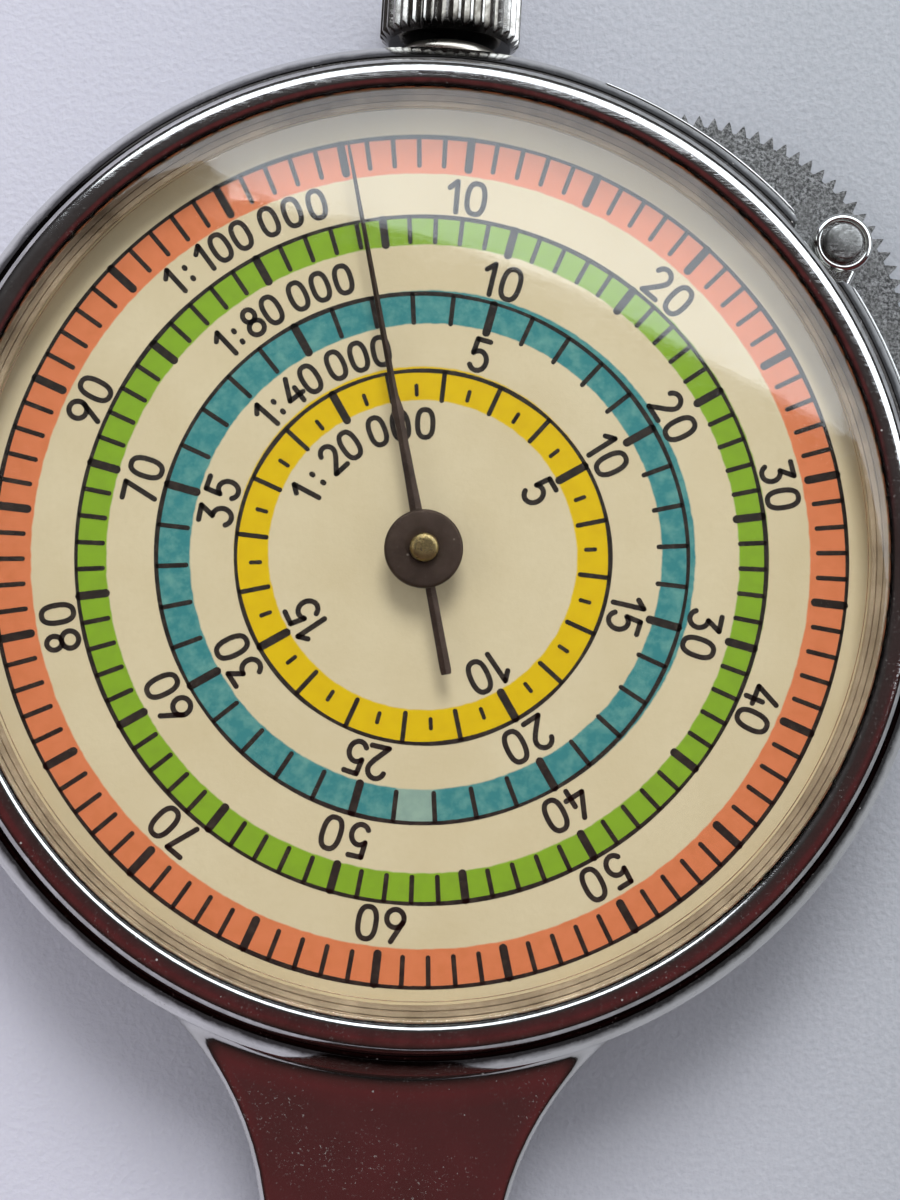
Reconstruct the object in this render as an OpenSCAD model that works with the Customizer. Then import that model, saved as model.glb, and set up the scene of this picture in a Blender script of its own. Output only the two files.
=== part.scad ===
// Map measurer in a watch-shaped case with a handle, a crown and a toothed tracing wheel.
// Lengths are in millimetres. The origin lies on the dial's axis at the face that the back rests on,
// +Z runs to the dial and +Y to the crown. Angles in plan count from +X towards +Y.

/* [Case] */
// Outermost radius of the band
case_r = 21; // [20:0.25:23]
// Thickness of the band's wall at its widest
case_wall = 1.2; // [0.8:0.1:1.5]
// How far the band draws in at its back edge
case_taper = 0.5; // [0.2:0.05:0.7]
// Width of the shoulder outside the bezel
shoulder_w = 1.05; // [0.9:0.05:1.3]
// Radius of the band's rounded front edge
shoulder_round = 0.5; // [0.3:0.05:0.6]
// Height of the shoulder above the ledge that the dial lies on
shoulder_rise = 0.55; // [0.3:0.05:0.8]
// Height of the band's rim above the shoulder, round the bezel
rim_rise = 1.55; // [1.3:0.05:1.7]
// Slope of the rim's face in degrees
rim_lean = 50; // [45:1:55]
// Gap between the rim and the bezel
rim_gap = 0.15; // [0.1:0.05:0.25]
// Thickness of the ledge that the movement and the dial are fixed to
ledge_t = 0.4; // [0.3:0.05:0.6]
// Width of the ledge inside the band
ledge_w = 1.6; // [1.5:0.1:1.9]
// Wall of the neck that the bezel snaps on
neck_wall = 0.5; // [0.4:0.05:0.7]
// Clear width of the slot round the tracing wheel's teeth
slot_gap = 0.35; // [0.25:0.05:0.6]
// Width of the notch in the shoulder beside the stud's lug
notch_w = 1.5; // [1:0.1:2]

/* [Back cover] */
// Thickness of the cover
cover_t = 0.55; // [0.4:0.05:0.7]
// Height of the case's back edge over the rest face
cover_rise = 0.9; // [0.8:0.05:1.2]
// Width of the sloping border round the flat that the cover rests on
rest_border = 4; // [3:0.25:6]
// Height of the flange that snaps into the band
flange_h = 1.3; // [0.9:0.1:1.5]

/* [Handle] */
// Distance from the dial's axis to the centre of the rounded end
handle_reach = 60; // [50:1:70]
// Half the handle's width at its waist
waist_half = 4.8; // [4:0.1:6]
// Radius of the flare from the waist into the case
flare_r = 13; // [10:0.5:16]
// Radius of the rounded end
handle_end_r = 6.2; // [5.5:0.1:8]
// Thickness of the handle
handle_t = 2.4; // [1.6:0.1:3]
// Height of the handle's underside over the rest face
handle_lift = 3; // [2:0.1:3.4]
// Radius of the handle's rolled edges
handle_edge = 0.6; // [0.3:0.05:0.75]
// Radius of the lanyard hole
lanyard_r = 1.75; // [1:0.05:2.5]

/* [Dial and glass] */
// Thickness of the dial plate
dial_plate_t = 0.25; // [0.2:0.05:0.4]
// Thickness of the printed card
dial_card_t = 0.12; // [0.1:0.02:0.2]
// Radius of the hole for the pointer's arbor
dial_hole_r = 0.9; // [0.8:0.05:1.2]
// Radius of the two dial feet
foot_r = 0.4; // [0.3:0.05:0.6]
// Length of the dial feet below the dial plate
foot_len = 1.5; // [1.1:0.1:1.6]
// Distance of the dial feet from the dial's edge
foot_inset = 3.4; // [2.9:0.1:4.4]
// Height of the spacer ring on the dial
rehaut_h = 1.5; // [1.2:0.05:2]
// Width of the spacer ring
rehaut_w = 0.5; // [0.35:0.05:0.6]
// Thickness of the crystal's flange
crystal_flange_t = 0.65; // [0.5:0.05:0.9]
// Height of the crystal's upright step over its flange
crystal_step = 0.45; // [0.3:0.05:0.7]
// Rise of the crystal's dome over its step
crystal_dome = 1.3; // [0.9:0.1:1.8]
// Thickness of the crystal's dome
crystal_t = 1; // [0.8:0.05:1.1]

/* [Bezel] */
// Width of the bezel ring outside the neck
bezel_w = 0.45; // [0.35:0.05:0.6]
// Height of the bezel's crest over the crystal's flange
bezel_rise = 0.65; // [0.5:0.05:0.9]
// How far the lip reaches over the crystal's flange
bezel_lip = 0.7; // [0.5:0.05:0.8]
// Gap between the bezel and the shoulder
bezel_gap = 0.15; // [0.1:0.05:0.3]
// Radius of the bead along the bezel's crest
bead_r = 0.3; // [0.2:0.02:0.35]

/* [Tracing wheel] */
// Teeth of the tracing wheel
trace_teeth = 100; // [90:2:104]
// How far the wheel stands out of the band
trace_out = 3.83; // [3.4:0.01:4.2]
// Distance from the dial's axis to the wheel's edge
trace_in = 3.61; // [3.2:0.01:4]
// Depth of its teeth
trace_depth = 0.53; // [0.3:0.01:0.6]
// Thickness of the wheel at its middle
trace_t = 1.1; // [0.8:0.05:1.2]
// Thickness of the wheel at its rim
trace_rim_t = 0.5; // [0.4:0.05:0.7]
// Width of the bevelled band at the rim
trace_bevel_w = 1.7; // [1:0.1:2.5]
// Direction of the wheel's arbor
trace_angle = 42.9; // [40:0.1:46]

/* [Gear train] */
// Gap between the tracing wheel's teeth and the intermediate arbor
arbor_room = 0.455; // [0.3:0.005:0.6]
// Gap between the intermediate gear and the pointer's arbor
axis_room = 0.5225; // [0.35:0.0025:0.6]
// Teeth of the tracing wheel's pinion
wheel_pinion_teeth = 14; // [14:1:14]
// Teeth of the intermediate gear
intermediate_teeth = 35; // [35:1:35]
// Teeth of the intermediate pinion
intermediate_pinion_teeth = 10; // [10:1:10]
// Teeth of the gear on the pointer's arbor
centre_teeth = 60; // [60:1:60]
// Thickness of the two thin gears
gear_t = 0.45; // [0.35:0.05:0.5]
// Play between meshing teeth, measured round the pitch circle
backlash = 0.08; // [0.06:0.01:0.1]
// Axial gap between parts that turn past each other
level_gap = 0.2; // [0.15:0.05:0.25]
// Wall of the collets that carry the gears
collet_wall = 0.5; // [0.4:0.05:0.6]
// Width and thickness of the collets' flanges
collet_flange_w = 0.6; // [0.4:0.05:0.8]
collet_flange_t = 0.4; // [0.25:0.05:0.45]
// Wall of the tracing wheel's hub, and the width of its flange
hub_wall = 0.6; // [0.5:0.05:0.8]
hub_flange_w = 0.9; // [0.6:0.05:1.2]

/* [Setting drive] */
// Module of the contrate wheel and the stem pinion
contrate_module = 0.2; // [0.19:0.005:0.21]
// Teeth of the contrate wheel
contrate_teeth = 40; // [40:1:40]
// Teeth of the stem pinion
stem_pinion_teeth = 8; // [8:1:8]
// Width of the contrate wheel's teeth along the radius
contrate_face = 0.5; // [0.3:0.05:0.6]
// Thickness of the contrate wheel's disc
contrate_t = 0.3; // [0.25:0.05:0.4]
// Radius of the crown's stem
stem_r = 0.5; // [0.4:0.02:0.52]
// Clear height of the stem over the tracing wheel
stem_gap = 0.3; // [0.2:0.05:0.4]
// Length of the block that carries the stem's inner end
bearing_len = 1.8; // [1.2:0.1:2.2]
// Width of that block
bearing_w = 3.4; // [3.2:0.1:4]

/* [Crown] */
// Radius of the crown over its flutes
crown_r = 3; // [2.6:0.05:3.3]
// Flutes round the crown
crown_flutes = 36; // [30:1:40]
// Depth of the flutes
flute_depth = 0.28; // [0.15:0.01:0.35]
// Length of the crown
crown_len = 5.1; // [4:0.1:7]
// Height of the crown's domed end
crown_dome = 0.5; // [0.3:0.05:0.9]
// Chamfer at both ends of the flutes
crown_edge = 0.35; // [0.2:0.05:0.5]
// Distance from the band to the crown
crown_gap = 1.1; // [0.9:0.05:1.5]
// Radius of the crown's bush
tube_r = 1.6; // [1.2:0.05:1.9]
// Width of the bush's flange inside the band
tube_flange_w = 0.4; // [0.3:0.05:0.6]

/* [Plates, arbors and screws] */
// Thickness of the back plate
back_plate_t = 0.6; // [0.5:0.05:0.8]
// Gap between the back cover and the back plate
back_plate_gap = 0.6; // [0.55:0.05:0.9]
// Thickness of the front plate
front_plate_t = 0.55; // [0.45:0.05:0.8]
// Gap between the heads of the plate screws and the ledge
pillar_gap = 0.2; // [0.1:0.05:0.5]
// Width of the back plate outside the pillars
plate_margin = 0.35; // [0.2:0.05:0.6]
// Radius of the pillars
pillar_r = 0.85; // [0.75:0.05:0.95]
// Radius of the plate screws' heads
plate_head_r = 0.8; // [0.65:0.05:0.85]
// Thickness of every screw head
head_t = 0.3; // [0.2:0.05:0.3]
// Radius of the plate screws' shanks
plate_screw_r = 0.4; // [0.3:0.05:0.5]
// Radius of the arbors between the plates
arbor_r = 0.7; // [0.55:0.05:0.8]
// Radius of the arbors' pivots
pivot_r = 0.4; // [0.3:0.02:0.5]
// Radius of the intermediate arbor
thin_arbor_r = 0.45; // [0.4:0.02:0.5]
// Radius of the intermediate arbor's pivots
thin_pivot_r = 0.3; // [0.25:0.02:0.38]
// Wall of the bearing bushes
bush_wall = 0.45; // [0.3:0.05:0.6]

/* [Pointer] */
// Radius of the pointer arbor's end
arbor_top_r = 0.57; // [0.5:0.01:0.62]
// Height of the needle over the dial
needle_lift = 1.05; // [0.7:0.05:1.2]
// Thickness of the needle
needle_t = 0.18; // [0.12:0.02:0.25]
// Distance from the needle's tip to the dial's edge
needle_margin = 1.95; // [1.5:0.05:5]
// Length of its tail
tail_len = 5.1; // [3.5:0.1:7]
// Distance from the axis to the needle's swelling
swell_at = 5.7; // [4:0.1:8]
// Half the needle's width at the hub, and before, at and after its swelling
root_half = 0.3; // [0.2:0.01:0.5]
needle_half = 0.19; // [0.12:0.01:0.25]
swell_half = 0.24; // [0.2:0.01:0.4]
taper_half = 0.14; // [0.08:0.01:0.2]
// Half the width of its tip and of its tail's end
tip_half = 0.03; // [0.02:0.01:0.06]
tail_half = 0.22; // [0.15:0.01:0.4]
// Radius of the pointer's hub
hub_r = 1.58; // [1.2:0.02:2]
// Thickness of the pointer's hub
hub_t = 0.45; // [0.3:0.05:0.6]
// Height of the arbor's domed tip over the hub
tip_rise = 0.6; // [0.3:0.05:0.65]
// Direction in which the needle points
pointer_angle = 103.7; // [0:0.1:360]

/* [Index stud] */
// Direction of the stud
lug_angle = 40; // [39:0.5:41]
// Distance of the stud beyond the band
lug_out = 1; // [0.9:0.05:1.2]
// Radius of the lug round the stud
lug_r = 1.25; // [1.1:0.05:1.4]
// Thickness of the lug
lug_t = 1.5; // [1.2:0.1:1.7]
// How far the lug's face lies below the shoulder
lug_drop = 0.38; // [0.3:0.02:0.5]
// Radius of the stud's head
stud_head_r = 0.82; // [0.6:0.02:0.85]
// Radius of the stud's shank
stud_shank_r = 0.45; // [0.3:0.05:0.5]
// Height of the stud's head
stud_head_h = 0.45; // [0.3:0.05:0.6]
// Depth of the head's seat in the lug
stud_seat = 0.25; // [0.15:0.05:0.4]

/* [Hidden] */
$fn = 64;

// Radial clearance of a shaft that turns in a bore
run_gap = 0.03;
// Clearance between parts that fit into each other and stay
fit_gap = 0.05;
// Extra length of a cut beyond the surface that it opens
cut = 0.5;
// Pressure angle of all gear teeth
pressure = 25;
// Height and depth of a tooth in modules
addendum = 0.75;
dedendum = 1.15;

// Radii of the case
inner_r = case_r - case_wall;
back_edge_r = case_r - case_taper;
bezel_r = case_r - shoulder_w;
bezel_bore_r = bezel_r - bezel_w;
neck_r = bezel_bore_r - fit_gap;
dial_r = neck_r - neck_wall - fit_gap;
ledge_r = inner_r - ledge_w;
rest_r = back_edge_r - rest_border;
foot_circle_r = dial_r - foot_inset;
pillar_circle_r = ledge_r - pillar_gap - plate_head_r;
needle_len = dial_r - needle_margin;

// Heights, from the back to the glass
cover_in_z = cover_t;
back_plate_z = cover_in_z + back_plate_gap;
back_plate_top = back_plate_z + back_plate_t;
centre_gear_z = back_plate_top + level_gap;
centre_gear_top = centre_gear_z + gear_t;
trace_z = centre_gear_top + level_gap;
trace_top = trace_z + trace_t;
trace_mid = trace_z + trace_t / 2;
intermediate_z = trace_top + level_gap;
intermediate_top = intermediate_z + gear_t;
stem_z = trace_top + stem_gap + stem_r;
contrate_pitch_z = stem_z + contrate_module * stem_pinion_teeth / 2;
contrate_tip_z = contrate_pitch_z - addendum * contrate_module;
contrate_z = contrate_pitch_z + dedendum * contrate_module;
contrate_top = contrate_z + contrate_t;
front_plate_z = contrate_top + level_gap;
front_plate_top = front_plate_z + front_plate_t;
ledge_top = front_plate_top + ledge_t;
shoulder_z = ledge_top + shoulder_rise;
rim_z = shoulder_z + rim_rise;
dial_plate_top = ledge_top + dial_plate_t;
dial_z = dial_plate_top + dial_card_t;
rehaut_top = dial_z + rehaut_h;
flange_top = rehaut_top + crystal_flange_t;
step_top = flange_top + crystal_step;
bezel_z = shoulder_z + bezel_gap;
bezel_top = flange_top + bezel_rise;
needle_z = dial_z + needle_lift;
hub_z = needle_z + needle_t;
hub_top = hub_z + hub_t;

// Tracing wheel and gear centres
trace_r = (case_r + trace_out - trace_in) / 2;
trace_axis_r = trace_in + trace_r;
trace_at = trace_axis_r * [cos(trace_angle), sin(trace_angle)];
first_centres = trace_r + arbor_room + thin_arbor_r;
first_module = 2 * first_centres / (wheel_pinion_teeth + intermediate_teeth);
intermediate_tip_r = first_module * (intermediate_teeth / 2 + addendum);
second_centres = intermediate_tip_r + axis_room + arbor_r;
second_module = 2 * second_centres / (intermediate_pinion_teeth + centre_teeth);
corner_cos = (trace_axis_r ^ 2 + second_centres ^ 2 - first_centres ^ 2)
    / (2 * trace_axis_r * second_centres);
intermediate_angle = trace_angle - acos(corner_cos);
intermediate_at = second_centres * [cos(intermediate_angle), sin(intermediate_angle)];
first_line = intermediate_at - trace_at;
first_angle = atan2(first_line.y, first_line.x);
contrate_r = contrate_module * contrate_teeth / 2;

// Crown and its bush
crown_y = case_r + crown_gap;
tube_end = crown_y - level_gap;
tube_flange_y = inner_r - level_gap;
tube_flange_t = 0.5;
stem_in_y = contrate_r - contrate_face;
bearing_y = contrate_r + contrate_face + 1;
stem_grip = 2.2;
collar_t = 0.6;

// Directions of the pillars, the case screws and the dial feet
pillar_angles = [105, 165, 225, 270, 315];
case_screw_angles = [15, 135, 250];
foot_angles = [5, 190];
case_screw_circle_r = inner_r - ledge_w / 2;
case_screw_r = 0.35;
case_head_r = 0.7;
bush_proud = 0.12;
screw_depth = 1.2;
bearing_screw_r = 0.3;
bearing_screw_depth = 0.7;

// Lug for the stud
lug_at = (case_r + lug_out) * [cos(lug_angle), sin(lug_angle)];
lug_z = shoulder_z - lug_drop - lug_t;
notch_turn = 5.4;

// Points on an arc round the point c
function arc(c, r, from, to, n = 8) =
    [for (i = [0 : n]) let (a = from + (to - from) * i / n) c + r * [cos(a), sin(a)]];

// Half the angle that an involute tooth takes up at the radius r
function inv(a) = tan(a) - a * PI / 180;
function tooth_half(r, teeth, m) =
    let (pitch_r = m * teeth / 2)
    let (base_r = pitch_r * cos(pressure))
    let (half = 90 / teeth - backlash / 4 / pitch_r * 180 / PI)
    half + (inv(pressure) - inv(acos(min(1, base_r / r)))) * 180 / PI;

// Outline of an involute gear with its first tooth on +X
module gear_outline(teeth, m) {
    pitch_r = m * teeth / 2;
    base_r = pitch_r * cos(pressure);
    root_r = pitch_r - dedendum * m;
    tip_r = pitch_r + addendum * m;
    start_r = max(base_r, root_r);
    steps = 3;
    radii = [for (i = [0 : steps]) start_r + (tip_r - start_r) * i / steps];
    foot = [[root_r, -tooth_half(start_r, teeth, m)]];
    right = concat(foot, [for (r = radii) [r, -tooth_half(r, teeth, m)]]);
    left = [for (i = [len(right) - 1 : -1 : 0]) [right[i][0], -right[i][1]]];
    polygon([for (t = [0 : teeth - 1]) for (p = concat(right, left))
        p[0] * [cos(p[1] + t * 360 / teeth), sin(p[1] + t * 360 / teeth)]]);
}

// Gear of thickness t with a bore and, where holes is above 0, that many holes to lighten it
module gear(teeth, m, t, bore, holes = 0) {
    pitch_r = m * teeth / 2;
    hole_r = pitch_r * 0.2;
    difference() {
        linear_extrude(t) gear_outline(teeth, m);
        translate([0, 0, -cut]) cylinder(r = bore, h = t + 2 * cut);
        if (holes > 0)
            for (k = [0 : holes - 1])
                rotate(k * 360 / holes + 180 / holes) translate([pitch_r * 0.56, 0, -cut])
                    cylinder(r = hole_r, h = t + 2 * cut);
    }
}

// Ring between two radii
module ring(outer, inner, h) {
    difference() {
        cylinder(r = outer, h = h);
        translate([0, 0, -cut]) cylinder(r = inner, h = h + 2 * cut);
    }
}

// Two bushes on one axis, one in each plate
module bush_pair(bore) {
    outer = bore + bush_wall;
    translate([0, 0, back_plate_z - bush_proud]) ring(outer, bore, back_plate_t + 2 * bush_proud);
    translate([0, 0, front_plate_z - bush_proud]) ring(outer, bore, front_plate_t + 2 * bush_proud);
}

// Shaft with a thinner pivot at each end, from the back plate to the front plate
module arbor(body_r, end_r) {
    low = back_plate_z - bush_proud;
    body_z = back_plate_top + bush_proud + fit_gap;
    body_top = front_plate_z - bush_proud - fit_gap;
    translate([0, 0, low]) cylinder(r = end_r, h = front_plate_top + bush_proud - low);
    translate([0, 0, body_z]) cylinder(r = body_r, h = body_top - body_z);
}

// Screw with a slotted head, head upwards, shank below z = 0
module screw(head_r, shank_r, shank_len) {
    slot_w = head_r * 0.3;
    difference() {
        union() {
            cylinder(r = head_r, h = head_t);
            translate([0, 0, -shank_len]) cylinder(r = shank_r, h = shank_len + head_t / 2);
        }
        translate([-head_r, -slot_w / 2, head_t * 0.6]) cube([2 * head_r, slot_w, head_t]);
    }
}

// Copies of the children at distance r in each direction of a list
module around(r, angles) {
    for (a = angles) rotate(a) translate([r, 0, 0]) children();
}

// Outline of the handle in plan, drawn in all round by inset
module handle_outline(inset) {
    flare_x = waist_half + flare_r;
    flare_y = -sqrt((case_r + flare_r) ^ 2 - flare_x ^ 2);
    start = asin(flare_x / (case_r + flare_r));
    flare_in = flare_r + inset;
    flare_side = arc([flare_x, flare_y], flare_in, 90 + start, 180, 10);
    end_r = handle_end_r - inset;
    neck_half = waist_half - inset;
    run = flare_y + handle_reach;
    swell_side = [for (i = [1 : 10]) let (s = i / 10)
        [neck_half + (end_r - neck_half) * s * s * (3 - 2 * s), flare_y - run * s]];
    side = concat([[inner_r * sin(start), -inner_r * cos(start)]], flare_side, swell_side);
    mirrored = [for (i = [len(side) - 1 : -1 : 0]) [-side[i].x, side[i].y]];
    polygon(concat(side, mirrored));
    translate([0, -handle_reach]) circle(r = end_r);
}

// Handle with rolled edges, as layers that draw in towards the two faces
module handle() {
    steps = 4;
    mid_z = handle_lift + handle_t / 2;
    for (i = [0 : steps]) {
        a = 90 * i / steps;
        half = handle_t / 2 - handle_edge * (1 - cos(90 - a));
        translate([0, 0, mid_z - half]) linear_extrude(2 * half) handle_outline(handle_edge * (1 - cos(a)));
    }
}

// Section of the band, the shoulder, the ledge and the neck
module case_section() {
    groove_r = bezel_r + rim_gap;
    face_w = case_r - shoulder_round * (1 - sin(rim_lean)) - groove_r;
    edge_z = rim_z - face_w * tan(rim_lean) - shoulder_round * cos(rim_lean);
    front_arc = arc([case_r - shoulder_round, edge_z], shoulder_round, 0, 90 - rim_lean);
    band_mid_z = cover_rise + (shoulder_z - cover_rise) * 0.45;
    polygon(concat(
        [[inner_r, cover_rise], [back_edge_r, cover_rise]],
        [[case_r - case_taper * 0.35, cover_rise + (band_mid_z - cover_rise) * 0.4], [case_r, band_mid_z]],
        front_arc,
        [[groove_r, rim_z], [groove_r, shoulder_z], [neck_r, shoulder_z]],
        [[neck_r, rehaut_top], [neck_r - neck_wall, rehaut_top]],
        [[neck_r - neck_wall, ledge_top], [ledge_r, ledge_top], [ledge_r, front_plate_top]],
        [[inner_r, front_plate_top]]));
}

module case_body() color([0.76, 0.76, 0.78]) {
    difference() {
        union() {
            rotate_extrude($fn = 96) case_section();
            difference() {
                handle();
                translate([0, 0, -cut]) cylinder(r = inner_r + case_wall / 2, h = bezel_top, $fn = 96);
            }
            lug_blank();
        }
        // Slot for the tracing wheel, open to the back so that the movement can be put in
        translate([trace_at.x, trace_at.y, cover_rise - cut])
            cylinder(r = trace_r + slot_gap, h = trace_top + level_gap - cover_rise + cut, $fn = 96);
        // Notch in the shoulder beside the lug
        rotate(lug_angle + notch_turn) translate([bezel_r + fit_gap, -notch_w / 2, trace_top])
            cube([case_r, notch_w, shoulder_z]);
        // Hole for the stud and the seat of its head
        translate([lug_at.x, lug_at.y, lug_z - cut]) cylinder(r = stud_shank_r, h = lug_t + 2 * cut);
        translate([lug_at.x, lug_at.y, lug_z + lug_t - stud_seat])
            cylinder(r = stud_head_r + 0.14, h = stud_seat + cut);
        // Hole for the crown's bush
        on_stem(inner_r - case_wall) cylinder(r = tube_r, h = 3 * case_wall);
        // Holes for the case screws
        around(case_screw_circle_r, case_screw_angles)
            translate([0, 0, front_plate_top - cut]) cylinder(r = case_screw_r, h = ledge_t * 0.8 + cut);
        // Lanyard hole
        translate([0, -handle_reach, 0]) cylinder(r = lanyard_r, h = handle_lift + handle_t + cut);
    }
}

// Lug with the web that joins it to the band
module lug_blank() {
    web_w = 1.5;
    web_inset = 0.15;
    root = (case_r - case_wall / 2) * [cos(lug_angle - 3), sin(lug_angle - 3)];
    run = lug_at - root;
    translate([0, 0, lug_z]) {
        translate(lug_at) cylinder(r = lug_r, h = lug_t);
        translate(root) rotate(atan2(run.y, run.x)) translate([0, -web_w / 2, web_inset])
            cube([norm(run), web_w, lug_t - 2 * web_inset]);
    }
}

module back_cover() color([0.74, 0.74, 0.76]) {
    flange_r = inner_r - fit_gap;
    flange_in = flange_r - cover_t;
    shelf_z = cover_rise - cover_t * 0.3;
    rotate_extrude($fn = 96) polygon([
        [0, 0], [rest_r, 0], [rest_r + (back_edge_r - rest_r) * 0.55, cover_rise * 0.14],
        [rest_r + (back_edge_r - rest_r) * 0.9, cover_rise * 0.5], [back_edge_r, cover_rise - 0.12],
        [back_edge_r, cover_rise], [flange_r, cover_rise], [flange_r, cover_rise + flange_h],
        [flange_in, cover_rise + flange_h], [flange_in, shelf_z + 0.1], [flange_in - 0.4, shelf_z - 0.03],
        [rest_r, cover_t], [0, cover_t]]);
}

module bezel() color([0.78, 0.78, 0.8]) {
    lip_r = neck_r - bezel_lip;
    roll = bezel_w * 0.95;
    rotate_extrude($fn = 96) polygon(concat(
        [[bezel_bore_r, bezel_z], [bezel_r, bezel_z]],
        arc([bezel_r - roll, bezel_top - roll], roll, 0, 90, 6),
        arc([lip_r + bead_r, bezel_top - bead_r], bead_r, 90, 180, 6),
        [[lip_r, flange_top], [bezel_bore_r, flange_top]]));
}

module crystal() color([0.86, 0.92, 0.95, 0.35]) {
    flange_r = neck_r - fit_gap;
    wall_r = neck_r - bezel_lip - fit_gap;
    dome_r = (wall_r ^ 2 + crystal_dome ^ 2) / (2 * crystal_dome);
    hollow_r = wall_r - crystal_t * 0.8;
    apex = step_top + crystal_dome;
    difference() {
        union() {
            translate([0, 0, rehaut_top]) cylinder(r = flange_r, h = crystal_flange_t);
            intersection() {
                translate([0, 0, rehaut_top]) cylinder(r = wall_r, h = apex - rehaut_top);
                translate([0, 0, apex - dome_r]) sphere(r = dome_r, $fn = 96);
            }
        }
        intersection() {
            translate([0, 0, rehaut_top - cut]) cylinder(r = hollow_r, h = apex - rehaut_top);
            translate([0, 0, apex - dome_r]) sphere(r = dome_r - crystal_t, $fn = 96);
        }
    }
}

module rehaut_ring() color([0.55, 0.5, 0.42])
    translate([0, 0, dial_z]) ring(dial_r, dial_r - rehaut_w, rehaut_h);

module dial_plate() color([0.72, 0.6, 0.32])
    translate([0, 0, ledge_top]) ring(dial_r, dial_hole_r, dial_plate_t);

module dial_card() color([0.86, 0.82, 0.66])
    translate([0, 0, dial_plate_top]) ring(dial_r, dial_hole_r, dial_card_t);

module dial_feet() color([0.75, 0.45, 0.3])
    around(foot_circle_r, foot_angles)
        translate([0, 0, ledge_top - foot_len]) cylinder(r = foot_r, h = foot_len);

module front_plate() color([0.78, 0.66, 0.38]) {
    translate([0, 0, front_plate_z]) difference() {
        cylinder(r = inner_r - fit_gap, h = front_plate_t);
        translate([0, 0, -cut]) {
            long = front_plate_t + 2 * cut;
            cylinder(r = arbor_top_r + run_gap + bush_wall, h = long);
            translate(trace_at) cylinder(r = pivot_r + run_gap + bush_wall, h = long);
            translate(intermediate_at) cylinder(r = thin_pivot_r + run_gap + bush_wall, h = long);
            around(pillar_circle_r, pillar_angles) cylinder(r = plate_screw_r, h = long);
            around(case_screw_circle_r, case_screw_angles) cylinder(r = case_screw_r, h = long);
            around(foot_circle_r, foot_angles) cylinder(r = foot_r + fit_gap, h = long);
            bearing_screw_places() cylinder(r = bearing_screw_r, h = long);
        }
        // Notch for the flange of the crown's bush
        translate([0, 0, -front_plate_z]) on_stem(tube_flange_y - tube_flange_t - 2 * fit_gap)
            cylinder(r = tube_r + tube_flange_w + 2 * fit_gap, h = 2 * case_wall);
    }
}

module back_plate() color([0.78, 0.66, 0.38]) {
    translate([0, 0, back_plate_z]) difference() {
        cylinder(r = pillar_circle_r + pillar_r + plate_margin, h = back_plate_t);
        translate([0, 0, -cut]) {
            long = back_plate_t + 2 * cut;
            cylinder(r = pivot_r + run_gap + bush_wall, h = long);
            translate(trace_at) cylinder(r = pivot_r + run_gap + bush_wall, h = long);
            translate(intermediate_at) cylinder(r = thin_pivot_r + run_gap + bush_wall, h = long);
            around(pillar_circle_r, pillar_angles) cylinder(r = plate_screw_r, h = long);
        }
    }
}

module pillars() color([0.8, 0.68, 0.4]) {
    tall = front_plate_z - back_plate_top;
    around(pillar_circle_r, pillar_angles)
        translate([0, 0, back_plate_top]) ring(pillar_r, plate_screw_r, tall);
}

module front_plate_screws() color([0.5, 0.52, 0.58])
    around(pillar_circle_r, pillar_angles)
        translate([0, 0, front_plate_top])
            screw(plate_head_r, plate_screw_r, front_plate_t + screw_depth);

module back_plate_screws() color([0.5, 0.52, 0.58])
    around(pillar_circle_r, pillar_angles)
        translate([0, 0, back_plate_z]) mirror([0, 0, 1])
            screw(plate_head_r, plate_screw_r, back_plate_t + screw_depth);

module case_screws() color([0.5, 0.52, 0.58])
    around(case_screw_circle_r, case_screw_angles)
        translate([0, 0, front_plate_z]) mirror([0, 0, 1])
            screw(case_head_r, case_screw_r, front_plate_t + ledge_t * 0.8);

module wheel_bushes() color([0.85, 0.7, 0.35])
    translate(trace_at) bush_pair(pivot_r + run_gap);

module intermediate_bushes() color([0.85, 0.7, 0.35])
    translate(intermediate_at) bush_pair(thin_pivot_r + run_gap);

module centre_bushes() color([0.85, 0.7, 0.35]) {
    back_bore = pivot_r + run_gap;
    front_bore = arbor_top_r + run_gap;
    translate([0, 0, back_plate_z - bush_proud])
        ring(back_bore + bush_wall, back_bore, back_plate_t + 2 * bush_proud);
    translate([0, 0, front_plate_z - bush_proud])
        ring(front_bore + bush_wall, front_bore, front_plate_t + 2 * bush_proud);
}

// Children laid with their +Z along the stem, at height stem_z and distance y from the dial's axis
module on_stem(y) {
    translate([0, y, stem_z]) rotate([-90, 0, 0]) children();
}

module crown_tube() color([0.78, 0.78, 0.8]) {
    flange_r = tube_r + tube_flange_w;
    on_stem(0) difference() {
        union() {
            translate([0, 0, tube_flange_y]) cylinder(r = tube_r, h = tube_end - tube_flange_y);
            translate([0, 0, tube_flange_y - tube_flange_t]) cylinder(r = flange_r, h = tube_flange_t);
        }
        translate([0, 0, tube_flange_y - tube_flange_t - cut])
            cylinder(r = stem_r + run_gap, h = crown_len + cut);
    }
}

// Where the two screws of the stem's bearing stand
module bearing_screw_places() {
    for (side = [-1, 1])
        translate([side * bearing_w * 0.32, bearing_y + bearing_len / 2, 0]) children();
}

module stem_bearing() color([0.8, 0.68, 0.4]) {
    low = trace_top + level_gap;
    difference() {
        translate([-bearing_w / 2, bearing_y, low]) cube([bearing_w, bearing_len, front_plate_z - low]);
        on_stem(bearing_y - cut) cylinder(r = stem_r + run_gap, h = bearing_len + 2 * cut);
        bearing_screw_places()
            translate([0, 0, front_plate_z - bearing_screw_depth])
                cylinder(r = bearing_screw_r, h = bearing_screw_depth + cut);
    }
}

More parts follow.
